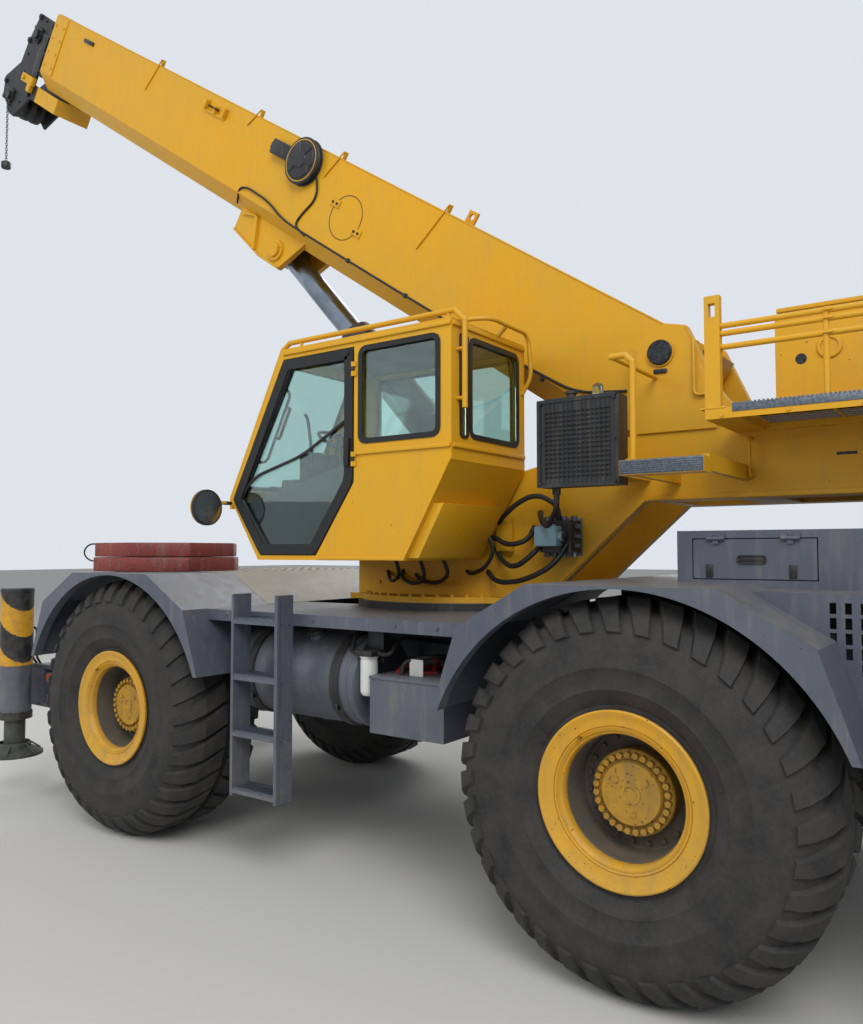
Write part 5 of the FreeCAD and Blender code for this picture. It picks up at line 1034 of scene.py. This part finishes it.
def ladder_steps():
    """Serrated galvanised treads, side plates' folds and bolts of both ladders."""
    mesh = bmesh.new()
    for side in (1, -1):
        for step in range(4):
            z = 0.565 + 0.36 * step
            y0, y1 = sorted((1.452 * side, 1.598 * side))
            block(mesh, 0.283, 0.657, y0, y1, z, z + 0.006, 0.001)
            for y in (1.454 * side, 1.590 * side):
                block(mesh, 0.283, 0.657, min(y, y + 0.006 * side), max(y, y + 0.006 * side),
                      z - 0.022, z + 0.012, 0.001)
                for k in range(17):
                    x = 0.292 + 0.0222 * k
                    block(mesh, x, x + 0.011, min(y, y + 0.006 * side),
                          max(y, y + 0.006 * side), z + 0.010, z + 0.019)
    piece("ladder_treads", mesh, zinc_steel, "carrier")
    mesh = bmesh.new()
    for side in (1, -1):
        for x in (0.27, 0.67):
            y0, y1 = sorted((1.572 * side, 1.6 * side))
            block(mesh, x - 0.012 if x < 0.5 else x, x if x < 0.5 else x + 0.012, y0, y1,
                  0.522, 1.806, 0.002)
            for step in range(4):
                z = 0.552 + 0.36 * step
                for y in (1.49, 1.55):
                    away = -0.008 if x < 0.5 else 0.008
                    bar(mesh, (x, y * side, z), (x + away, y * side, z), 0.010, 6)
    piece("ladder_bolts", mesh, slate_enamel, "carrier")


def tank_fittings():
    """Straps, domed ends, filler neck and drain of the round tank; filter and its hoses."""
    middle = Vector((0, 1.08, 1.265))
    mesh = bmesh.new()
    for x in (-0.010, 0.750):
        turned(mesh, ((0.297, -0.034), (0.302, -0.034), (0.302, 0.034), (0.297, 0.034),
                      (0.297, -0.034)), middle + Vector((x, 0, 0)), (1, 0, 0), 56)
        bar(mesh, (x - 0.02, 1.345, 1.12), (x + 0.02, 1.345, 1.12), 0.016, 8)
        block(mesh, x - 0.02, x + 0.02, 1.30, 1.36, 1.10, 1.14, 0.004)
    piece("tank_straps", mesh, black_enamel, "carrier")
    mesh = bmesh.new()
    for x, way in ((0.899, 1), (-0.1599, -1)):
        turned(mesh, ((0.286, -0.02), (0.2905, -0.006), (0.284, 0.004), (0.22, 0.014),
                      (0.0, 0.022)), middle + Vector((x, 0, 0)), (way, 0, 0), 56)
        hoop(mesh, middle + Vector((x - 0.05 * way, 0, 0)), (1, 0, 0), 0.2905, 0.004, 56, 6)
    bar(mesh, (0.28, 1.19, 1.50), (0.28, 1.215, 1.555), 0.055, 24)
    bar(mesh, (0.30, 1.08, 0.965), (0.30, 1.08, 0.985), 0.03, 6)
    piece("tank_ends", mesh, slate_enamel, "carrier")
    mesh = bmesh.new()
    bar(mesh, (0.28, 1.214, 1.554), (0.28, 1.229, 1.585), 0.066, 12)
    bar(mesh, (0.28, 1.229, 1.585), (0.28, 1.232, 1.592), 0.045, 12)
    piece("tank_cap", mesh, black_enamel, "carrier")
    mesh = bmesh.new()
    turned(mesh, ((0.0, 1.205), (0.040, 1.207), (0.052, 1.222), (0.054, 1.24), (0.054, 1.415),
                  (0.050, 1.432), (0.058, 1.436), (0.058, 1.446), (0.0, 1.446)),
           (-0.235, 1.30, 0), (0, 0, 1), 40)
    piece("filter_canister", mesh, filter_white, "carrier")
    mesh = bmesh.new()
    block(mesh, -0.305, -0.165, 1.235, 1.365, 1.446, 1.482, 0.012)
    block(mesh, -0.30, -0.17, 1.18, 1.24, 1.40, 1.60, 0.008)
    bar(mesh, (-0.165, 1.30, 1.464), (-0.135, 1.30, 1.464), 0.014, 6)
    bar(mesh, (-0.305, 1.30, 1.464), (-0.335, 1.30, 1.464), 0.014, 6)
    piece("filter_head", mesh, black_enamel, "carrier")
    bent_tubes("tank_hoses", [
        [(-0.135, 1.30, 1.464), (-0.09, 1.30, 1.464), (-0.09, 1.25, 1.58), (-0.02, 1.10, 1.60),
         (0.02, 1.02, 1.548)],
        [(-0.335, 1.30, 1.464), (-0.40, 1.30, 1.464), (-0.40, 1.20, 1.56), (-0.46, 0.80, 1.50),
         (-0.5, 0.455, 1.46)],
        [(-0.45, 1.25, 1.332), (-0.46, 1.25, 1.42), (-0.62, 1.18, 1.46), (-0.70, 0.9, 1.42),
         (-0.72, 0.455, 1.40)],
        [(-0.75, 1.22, 1.332), (-0.76, 1.22, 1.40), (-0.58, 1.05, 1.44), (-0.50, 0.6, 1.36),
         (-0.49, 0.455, 1.34)],
    ], 0.014, hose_rubber, "carrier", bend=0.07)


def battery_fittings():
    """Lids on the battery boxes and on the oil tank its cap and gauge."""
    mesh = bmesh.new()
    for side in (1, -1):
        y0, y1 = sorted((0.46 * side, 1.378 * side))
        block(mesh, -0.846, -0.294, y0, y1, 1.322, 1.340, 0.004)
    bar(mesh, (0.55, -1.15, 1.538), (0.55, -1.15, 1.60), 0.055, 24)
    bar(mesh, (0.55, -1.15, 1.60), (0.55, -1.15, 1.625), 0.068, 12)
    for z in (1.03, 1.51):
        block(mesh, -0.162, 0.902, -1.318, -1.310, z - 0.012, z + 0.012, 0.003)
    bar(mesh, (0.74, -1.311, 1.36), (0.74, -1.320, 1.36), 0.045, 24)
    piece("battery_lids", mesh, slate_enamel, "carrier")
    bent_tubes("battery_cables", [
        [(-0.60, 1.10, 1.346), (-0.52, 1.20, 1.354), (-0.44, 1.16, 1.40), (-0.48, 1.05, 1.44),
         (-0.56, 1.00, 1.40), (-0.58, 1.10, 1.370)],
        [(-0.40, 1.22, 1.354), (-0.36, 1.12, 1.38), (-0.46, 1.02, 1.36), (-0.54, 0.90, 1.354)],
    ], 0.014, red_cable, "carrier", bend=0.05)
    mesh = bmesh.new()
    block(mesh, -0.60, -0.50, 1.235, 1.241, 1.340, 1.440, 0.002)
    piece("blank_cable_tag", mesh, filter_white, "carrier")


def ring_and_guard():
    """Bolt ring and its guard of dark upright slats under the turret."""
    mesh = bmesh.new()
    centre = Vector((-0.05, 0, 1.56))
    for ring, z0, z1 in ((0.742, 0.005, 0.060), (0.742, 0.128, 0.176)):
        turned(mesh, ((ring - 0.004, z0), (ring + 0.030, z0), (ring + 0.030, z1),
                      (ring - 0.004, z1), (ring - 0.004, z0)), centre, (0, 0, 1), 64)
    ring_of_bolts(mesh, centre + Vector((0, 0, 0.060)), (0, 0, 1), 0.757, 48, 0.012, 0.014)
    for k in range(64):
        turn = math.tau * k / 64
        out = Vector((math.cos(turn), math.sin(turn), 0))
        bar(mesh, centre + out * 0.752 + Vector((0, 0, 0.055)),
            centre + out * 0.752 + Vector((0, 0, 0.130)), 0.008, 6)
    piece("slewing_ring_guard", mesh, black_enamel, "carrier")


def jack_housings():
    """Striped sleeve, cap, collar and foot of each outrigger jack, with its hoses."""
    for name, end, side in (("front_left", 1, 1), ("front_right", 1, -1),
                            ("rear_left", -1, 1), ("rear_right", -1, -1)):
        x = 3.56 * end + side * (0.008 + 0.0004 + 0.1)
        y = 1.42 * side
        mesh = bmesh.new()
        turned(mesh, ((0.1305, 1.10), (0.1325, 1.102), (0.1325, 1.738), (0.1305, 1.74),
                      (0.1305, 1.10)), (x, y, 0), (0, 0, 1), 48)
        piece(f"{name}_jack_stripes", mesh, stripes, f"{name}_beam")
        mesh = bmesh.new()
        turned(mesh, ((0.0, 1.768), (0.118, 1.768), (0.136, 1.760), (0.136, 1.735),
                      (0.131, 1.733)), (x, y, 0), (0, 0, 1), 48)
        turned(mesh, ((0.131, 0.642), (0.139, 0.642), (0.139, 0.700), (0.131, 0.704),
                      (0.131, 0.642)), (x, y, 0), (0, 0, 1), 48)
        bar(mesh, (x, y, 1.762), (x, y, 1.769), 0.03, 6)
        ring_of_bolts(mesh, (x, y, 0.704), (0, 0, 1), 0.134, 8, 0.006, 0.006)
        y0, y1 = sorted((1.245 * side, 1.30 * side))
        for z in (0.765, 1.05):
            block(mesh, x - 0.09, x + 0.09, y0, y1, z - 0.012, z + 0.012, 0.003)
        piece(f"{name}_jack_cap", mesh, black_enamel, f"{name}_beam")
        mesh = bmesh.new()
        turned(mesh, ((0.228, 0.332), (0.2295, 0.340), (0.2295, 0.352), (0.205, 0.362),
                      (0.135, 0.400), (0.132, 0.432), (0.126, 0.438)), (x, y, 0), (0, 0, 1), 48)
        for turn in range(6):
            out = Matrix.Rotation(math.tau * turn / 6 + 0.3, 3, "Z") @ Vector((1, 0, 0))
            bar(mesh, Vector((x, y, 0.43)) + out * 0.12, Vector((x, y, 0.36)) + out * 0.215,
                0.007, 6)
        piece(f"{name}_float_rim", mesh, dark_green, f"{name}_jack")
        bent_tubes(f"{name}_jack_hoses", [
            [(x - 0.04, 1.29 * side, 1.42), (x - 0.04, 1.262 * side, 1.40),
             (x - 0.04, 1.262 * side, 1.16), (x - 0.03, 1.20 * side, 1.068)],
            [(x + 0.04, 1.29 * side, 1.36), (x + 0.04, 1.262 * side, 1.34),
             (x + 0.04, 1.262 * side, 1.16), (x + 0.03, 1.20 * side, 1.068)],
        ], 0.010, hose_rubber, f"{name}_beam", bend=0.04)


def outrigger_box_ends():
    """Flanged mouths of the outrigger boxes and amber lamps on them."""
    mesh = bmesh.new()
    lamp = bmesh.new()
    for end in (1, -1):
        for side in (1, -1):
            y0, y1 = sorted((1.216 * side, 1.241 * side))
            x = 3.56 * end
            for z in (0.733, 1.084):
                block(mesh, x - 0.235, x + 0.235, y0, y1, z - 0.008, z + 0.008, 0.002)
            for away in (-0.232, 0.232):
                block(mesh, x + away - 0.006, x + away + 0.006, y0, y1, 0.735, 1.085, 0.002)
            away = -0.115 * side
            y0, y1 = sorted((1.232 * side, 1.252 * side))
            bar(lamp, (x + away, y0, 0.985), (x + away, y1, 0.985), 0.036, 24)
            bar(mesh, (x + away, min(1.236 * side, 1.242 * side), 0.985),
                (x + away, max(1.236 * side, 1.242 * side), 0.985), 0.046, 24)
    piece("outrigger_box_rims", mesh, slate_enamel, "carrier")
    piece("amber_side_lamps", lamp, amber_lens, "carrier")


def hood_fittings():
    """Handle and latches of each hood door, fan grille, exhaust and lamps at the tail."""
    for name, side in (("left", 1), ("right", -1)):
        mesh = bmesh.new()
        y0, y1 = sorted((0.879 * side, 0.888 * side))
        block(mesh, -2.464, -2.340, *sorted((0.8785 * side, 0.8815 * side)), 2.030, 2.060, 0.001)
        gasket(mesh, rectangle(-2.474, -2.330, 2.022, 2.068), 0.006, y0, y1, 0.018)
        for x in (-2.19, -2.60):
            block(mesh, x - 0.018, x + 0.018, y0, y1, 1.952, 2.020, 0.004)
            bar(mesh, (x, 0.886 * side, 1.99), (x, 0.893 * side, 1.99), 0.010, 12)
        piece(f"{name}_hood_latches", mesh, black_enamel, f"{name}_hood_door")
    mesh = bmesh.new()
    for side in (1, -1):
        y0, y1 = sorted((0.854 * side, 0.865 * side))
        gasket(mesh, rectangle(-2.736, -2.080, 1.920, 2.175), 0.045, y0, y1, 0.01)
    piece("hood_seals", mesh, gasket_rubber, "carrier")
    mesh = bmesh.new()
    for z in [1.30 + 0.03 * k for k in range(19)]:
        block(mesh, -3.966, -3.958, -0.62, 0.62, z, z + 0.012)
    for y in (-0.63, 0.0, 0.63):
        block(mesh, -3.970, -3.958, y - 0.014, y + 0.014, 1.28, 1.88, 0.003)
    for z in (1.275, 1.875):
        block(mesh, -3.970, -3.958, -0.644, 0.644, z - 0.012, z + 0.012, 0.003)
    for x in [-2.15 - 0.06 * k for k in range(26)]:
        block(mesh, x - 0.008, x + 0.008, -0.46, 0.46, 2.194, 2.202)
    piece("tail_grille", mesh, black_enamel, "carrier")
    mesh = bmesh.new()
    turned(mesh, ((0.050, 0.16), (0.062, 0.16), (0.062, 0.0), (0.075, -0.004), (0.05, -0.004),
                  (0.050, 0.16)), (-3.45, -0.66, 2.195), (0, 0, 1), 32)
    piece("exhaust_stub", mesh, pin_steel, "carrier")
    mesh = bmesh.new()
    lamps = bmesh.new()
    for side in (1, -1):
        y0, y1 = sorted((0.90 * side, 1.16 * side))
        block(mesh, -3.968, -3.958, y0, y1, 1.62, 1.78, 0.003)
        bar(lamps, (-3.966, 0.97 * side, 1.70), (-3.985, 0.97 * side, 1.70), 0.052, 24)
        bar(mesh, (-3.966, 0.97 * side, 1.70), (-3.976, 0.97 * side, 1.70), 0.060, 24)
        bar(mesh, (-3.966, 1.09 * side, 1.70), (-3.976, 1.09 * side, 1.70), 0.048, 24)
    piece("tail_lamp_plates", mesh, slate_enamel, "carrier")
    piece("tail_lamps", lamps, red_lens, "carrier")


def stowed_pads():
    """Two worn octagonal outrigger pads with eased edges, their rope and a wire handle."""
    mesh = bmesh.new()
    for low, size, turn, shift in ((1.9255, 0.618, 0.0, 0.0), (2.0445, 0.606, 0.012, 0.006)):
        corners = []
        for k in range(8):
            angle = math.radians(22.5 + 45 * k) + turn
            corners.append((2.50 + shift + size * math.cos(angle), 0.72 + size * math.sin(angle)))
        plate(mesh, corners, low, low + 0.114, "z", 0.010)
        for k in range(4):
            angle = math.radians(90 * k) + turn
            spot = (2.50 + 0.40 * math.cos(angle), 0.72 + 0.40 * math.sin(angle))
            if low > 2.0:
                hoop(mesh, (spot[0], spot[1], low + 0.112), (0, 0, 1), 0.030, 0.0025, 20, 6)
    piece("stowed_outrigger_pads", mesh, pad_enamel, "carrier", replaces=["outrigger_pads"])
    bent_tubes("pad_handles", [
        [(3.06, 0.92, 2.13), (3.10, 0.95, 2.14), (3.24, 1.01, 2.16), (3.30, 1.04, 2.08),
         (3.24, 1.01, 2.00), (3.10, 0.95, 2.015), (3.06, 0.92, 2.03)],
    ], 0.007, hose_rubber, "carrier", bend=0.05)


def deck_covers():
    """Dusty tread plates on the front deck and its slopes, and bolts on the boards."""
    mesh = bmesh.new()
    plate(mesh, [(AXLE_X - 0.866, 1.694), (AXLE_X - 0.459, 1.926), (AXLE_X + 0.459, 1.926),
                 (AXLE_X + 0.866, 1.694), (AXLE_X + 0.862, 1.6905), (AXLE_X + 0.459, 1.9245),
                 (AXLE_X - 0.459, 1.9245), (AXLE_X - 0.862, 1.6905)], -0.872, 0.872)
    for k in range(9):
        for j in range(16):
            x = AXLE_X - 0.40 + 0.10 * k
            y = -0.80 + 0.107 * j
            along = 0.024 if (k + j) % 2 else 0.005
            block(mesh, x - along, x + along, y - (0.029 - along), y + (0.029 - along),
                  1.926, 1.9275)
    piece("front_deck_plates", mesh, pale_deck, "carrier")
    mesh = bmesh.new()
    for side in (1, -1):
        for x in (-0.85, -0.55, 0.1, 0.9):
            seat = Vector((x, 1.45 * side, 1.655))
            bar(mesh, seat, seat + Vector((0, 0.008 * side, 0)), 0.011, 6)
        for middle in (AXLE_X, -AXLE_X):
            for away in (-0.94, 0.94):
                seat = Vector((middle + away, 1.654 * side, 1.46))
                bar(mesh, seat, seat - Vector((0, 0.006 * side, 0)), 0.012, 6)
    piece("board_bolts", mesh, slate_enamel, "carrier")


def front_end():
    """Head lamps, turn lamps, tow eyes and the bolted plate at the carrier's front."""
    mesh = bmesh.new()
    lens = bmesh.new()
    amber = bmesh.new()
    for side in (1, -1):
        y = 0.36 * side
        block(mesh, 3.796, 3.806, y - 0.16, y + 0.16, 1.27, 1.50, 0.003)
        turned(mesh, ((0.0, -0.03), (0.066, -0.03), (0.078, 0.0), (0.078, 0.034), (0.070, 0.036),
                      (0.066, 0.024)), (3.808, y + 0.06 * side, 1.385), (1, 0, 0), 32)
        bar(lens, (3.815, y + 0.06 * side, 1.385), (3.836, y + 0.06 * side, 1.385), 0.0655, 32)
        bar(amber, (3.806, y - 0.09 * side, 1.385), (3.826, y - 0.09 * side, 1.385), 0.036, 24)
        bar(mesh, (3.806, y - 0.09 * side, 1.385), (3.814, y - 0.09 * side, 1.385), 0.045, 24)
        hoop(mesh, (3.845, 0.30 * side, 0.92), (0, 1, 0), 0.050, 0.018, 28, 10)
        block(mesh, 3.796, 3.812, 0.30 * side - 0.06, 0.30 * side + 0.06, 0.85, 0.99, 0.003)
        hoop(mesh, (-3.848, 0.30 * side, 0.92), (0, 1, 0), 0.050, 0.018, 28, 10)
        block(mesh, -3.812, -3.796, 0.30 * side - 0.06, 0.30 * side + 0.06, 0.85, 0.99, 0.003)
        for z in (1.20, 1.53):
            for y in (0.06, 0.20):
                bar(mesh, (3.799, y * side, z), (3.809, y * side, z), 0.012, 6)
    piece("front_end_plates", mesh, black_enamel, "carrier")
    piece("head_lamps", lens, window_glass, "carrier")
    piece("turn_lamps", amber, amber_lens, "carrier")


def axle_fittings():
    """Cover bolts, king pin caps, steering cylinders, brake cans and shaft joints."""
    mesh = bmesh.new()
    for end in (1, -1):
        x = AXLE_X * end
        for way in (1, -1):
            ring = Vector((x + 0.13 * way, 0, AXLE_Z))
            turned(mesh, ((0.16, -0.014), (0.186, -0.014), (0.186, 0.014), (0.16, 0.020),
                          (0.16, -0.014)), ring, (way, 0, 0), 36)
            ring_of_bolts(mesh, ring + Vector((0.014 * way, 0, 0)), (way, 0, 0), 0.176, 14,
                          0.010, 0.012)
        for side in (1, -1):
            for up in (1, -1):
                cap = Vector((x, 1.125 * side, AXLE_Z + 0.164 * up))
                turned(mesh, ((0.0, 0.0), (0.066, 0.0), (0.066, 0.012), (0.050, 0.016),
                              (0.0, 0.016)), cap, (0, 0, up), 28)
                ring_of_bolts(mesh, cap + Vector((0, 0, 0.011 * up)), (0, 0, up), 0.056, 6,
                              0.007, 0.007)
            inner = Vector((x - 0.23 * end, 0.18 * side, AXLE_Z + 0.03))
            outer = Vector((x - 0.23 * end, 0.58 * side, AXLE_Z + 0.03))
            bar(mesh, inner, outer, 0.042, 24)
            bar(mesh, outer, outer + Vector((0, 0.20 * side, 0)), 0.022, 16)
            bar(mesh, inner + Vector((0, 0, -0.02)), inner + Vector((0.13 * end, 0, -0.02)),
                0.035, 12)
            turned(mesh, ((0.0, 0.0), (0.070, 0.0), (0.078, 0.01), (0.078, 0.05), (0.088, 0.055),
                          (0.088, 0.066), (0.078, 0.07), (0.074, 0.11), (0.0, 0.12)),
                   (x + 0.10 * end, 0.62 * side, AXLE_Z + 0.13), (0, 0, 1), 28)
            for y in (0.27, 0.39):
                for away in (-0.09, 0.09):
                    spot = Vector((x + away, y * side, AXLE_Z + 0.10))
                    bar(mesh, spot + Vector((math.copysign(0.019, away), 0, 0)),
                        spot + Vector((math.copysign(0.032, away), 0, 0)), 0.014, 6)
        for spot in (x - 0.235 * end, 0.0 - 0.40 * 0):
            if spot:
                turned(mesh, ((0.046, -0.05), (0.062, -0.05), (0.062, -0.03), (0.05, -0.02),
                              (0.05, 0.02), (0.075, 0.03), (0.075, 0.05), (0.046, 0.05),
                              (0.046, -0.05)), (spot, 0, AXLE_Z), (end, 0, 0), 24)
    block(mesh, -0.99, -0.46, -0.27, -0.258, 0.80, 1.12, 0.01)
    block(mesh, -0.99, -0.46, 0.258, 0.27, 0.80, 1.12, 0.01)
    ring_of_bolts(mesh, (-0.725, 0.27, 0.96), (0, 1, 0), 0.13, 10, 0.010, 0.010)
    for x in (-0.449, -1.001):
        turned(mesh, ((0.046, 0.0), (0.095, 0.0), (0.095, 0.02), (0.06, 0.05), (0.046, 0.05),
                      (0.046, 0.0)), (x, 0, AXLE_Z), (1 if x > -0.7 else -1, 0, 0), 28)
    piece("axle_and_shaft_fittings", mesh, black_enamel, "carrier")
    runs = []
    for end in (1, -1):
        for side in (1, -1):
            x = AXLE_X * end + 0.10 * end
            runs.append([(x, 0.62 * side, 1.186), (x, 0.60 * side, 1.24), (x - 0.1 * end,
                         0.52 * side, 1.27), (x - 0.2 * end, 0.452 * side, 1.30)])
    bent_tubes("brake_hoses", runs, 0.009, hose_rubber, "carrier", bend=0.05)


def engine_fittings():
    """Rocker covers, manifold, air filter and fan of the engine under the hood."""
    mesh = bmesh.new()
    for k in range(6):
        x = -2.52 - 0.16 * k
        block(mesh, x - 0.06, x + 0.06, -0.14, 0.14, 2.079, 2.13, 0.012)
        bar(mesh, (x, 0.20, 2.02), (x, 0.37, 1.96), 0.028, 12)
    bar(mesh, (-2.48, 0.40, 1.95), (-3.38, 0.40, 1.95), 0.045, 20)
    bar(mesh, (-3.35, -0.20, 2.12), (-2.85, -0.20, 2.12), 0.045, 20)
    ring_of_bolts(mesh, (-3.505, 0, 1.80), (-1, 0, 0), 0.10, 8, 0.012, 0.012)
    for k in range(7):
        turn = math.tau * k / 7
        out = Vector((0, math.cos(turn), math.sin(turn)))
        bar(mesh, Vector((-3.56, 0, 1.80)), Vector((-3.56, 0, 1.80)) + out * 0.24, 0.030, 6, 0.05)
    bar(mesh, (-3.50, 0, 1.80), (-3.60, 0, 1.80), 0.05, 20)
    piece("engine_fittings", mesh, engine_paint, "carrier")


ladder_steps()
tank_fittings()
stowed_pads()
deck_covers()
front_end()
axle_fittings()
engine_fittings()
battery_fittings()
ring_and_guard()
jack_housings()
outrigger_box_ends()
hood_fittings()
turret_fittings()
cooler_fittings()
valve_fittings()
step_and_walkway()
hoist_drum("front", -2.70)
hoist_drum("rear", -3.42)
counterweight_fittings()
boom_fittings()
cable_reel()
boom_bracket()
sheave_head()
limit_chain()
lift_cylinder_fittings()
cab_openings()
cab_panels()
cab_inside()
operator_seat()
mirror()


# Materials of the pieces carried over from the CAD model

FINISH_OF = {
    "carrier_frame": slate_enamel, "front_fenders": slate_enamel, "rear_fenders": slate_enamel,
    "decks": slate_enamel, "ladders": slate_enamel, "fuel_tank": slate_enamel,
    "oil_tank": slate_enamel, "battery_boxes": slate_enamel, "engine_cover": slate_enamel,
    "left_hood_door": slate_enamel, "right_hood_door": slate_enamel,
    "engine_block": engine_paint, "front_axle": black_enamel,
    "rear_axle": black_enamel, "drive_line": black_enamel, "slewing_ring": slate_enamel,
    "turret_frame": yellow_enamel, "counterweight": yellow_enamel, "walkway": yellow_enamel,
    "cab_shell": yellow_enamel, "cab_door": black_enamel, "cab_glass": window_glass,
    "door_glass": window_glass, "seat_frame": black_enamel, "operator_seat": seat_cloth,
    "cab_console": black_enamel, "oil_cooler": black_enamel, "cab_rails": yellow_enamel,
    "side_step": yellow_enamel, "valve_block": black_enamel,
    "boom_base": yellow_enamel, "boom_second": yellow_enamel, "boom_third": yellow_enamel,
    "boom_tip": tip_enamel, "hoist_limit_weight": black_enamel, "lift_rod": hard_chrome,
    "lift_barrel": black_enamel,
}
for corner, corner_x, corner_side in CORNERS:
    FINISH_OF[f"{corner}_beam"] = slate_enamel
    FINISH_OF[f"{corner}_jack"] = dark_green
    FINISH_OF[f"{corner}_knuckle"] = black_enamel
for node_name, node_finish in FINISH_OF.items():
    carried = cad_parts[node_name]
    for socket in carried.material_slots:
        socket.material = node_finish


# Camera, floor and light


def studio():
    """Plain pale floor, soft lamps from above and both sides, and the photograph's camera."""
    floor_paint, tree, shader, where = finish("pale_studio_floor", Roughness=0.9)
    shader.inputs["Base Color"].default_value = linear("#c9c7c2")
    mesh = bmesh.new()
    bmesh.ops.create_grid(mesh, x_segments=1, y_segments=1, size=90)
    data = bpy.data.meshes.new("studio_floor")
    mesh.to_mesh(data)
    mesh.free()
    data.materials.append(floor_paint)
    floor = bpy.data.objects.new("studio_floor", data)
    bpy.context.scene.collection.objects.link(floor)

    world = bpy.data.worlds.new("studio_sky")
    bpy.context.scene.world = world
    world.use_nodes = True
    tree = world.node_tree
    sky = tree.nodes["Background"]
    path = add(tree, "ShaderNodeLightPath")
    seen = add(tree, "ShaderNodeMath", {0: path.outputs["Is Camera Ray"],
                                        1: path.outputs["Is Glossy Ray"]}, operation="MAXIMUM")
    seen = add(tree, "ShaderNodeMath", {0: seen.outputs[0],
                                        1: path.outputs["Is Transmission Ray"]},
               operation="MAXIMUM")
    sky.inputs["Color"].default_value = linear("#dfe4ea")
    tree.links.new(between(tree, seen.outputs[0], 0, 1, 0.55, 1.0), sky.inputs["Strength"])

    for name, spot, aim, size, watts in (
            ("key_lamp", (-9, 10, 12), (-1, 0, 1.5), 9, 1500),
            ("fill_lamp", (8, 11, 7), (0, 0, 1.5), 8, 650),
            ("rim_lamp", (4, -12, 11), (0, 0, 2.0), 9, 900)):
        lamp = bpy.data.lights.new(name, "AREA")
        lamp.size = size
        lamp.energy = watts
        holder = bpy.data.objects.new(name, lamp)
        bpy.context.scene.collection.objects.link(holder)
        holder.location = spot
        holder.visible_glossy = name != "fill_lamp"
        holder.rotation_euler = (Vector(aim) - Vector(spot)).to_track_quat("-Z", "Y").to_euler()

    lens = bpy.data.cameras.new("photo_camera")
    lens.sensor_width = 36
    lens.lens = 29.24
    lens.clip_end = 300
    camera = bpy.data.objects.new("photo_camera", lens)
    bpy.context.scene.collection.objects.link(camera)
    yaw, pitch = math.radians(-54.438), math.radians(2.742)
    camera.location = (-3.54 - ORIGIN_X, 5.265, 2.084)
    aim = Vector((math.cos(yaw) * math.cos(pitch), math.sin(yaw) * math.cos(pitch),
                  math.sin(pitch)))
    camera.rotation_euler = aim.to_track_quat("-Z", "Y").to_euler()
    bpy.context.scene.camera = camera
    bpy.context.scene.view_settings.view_transform = "Standard"


studio()
bpy.context.view_layer.update()
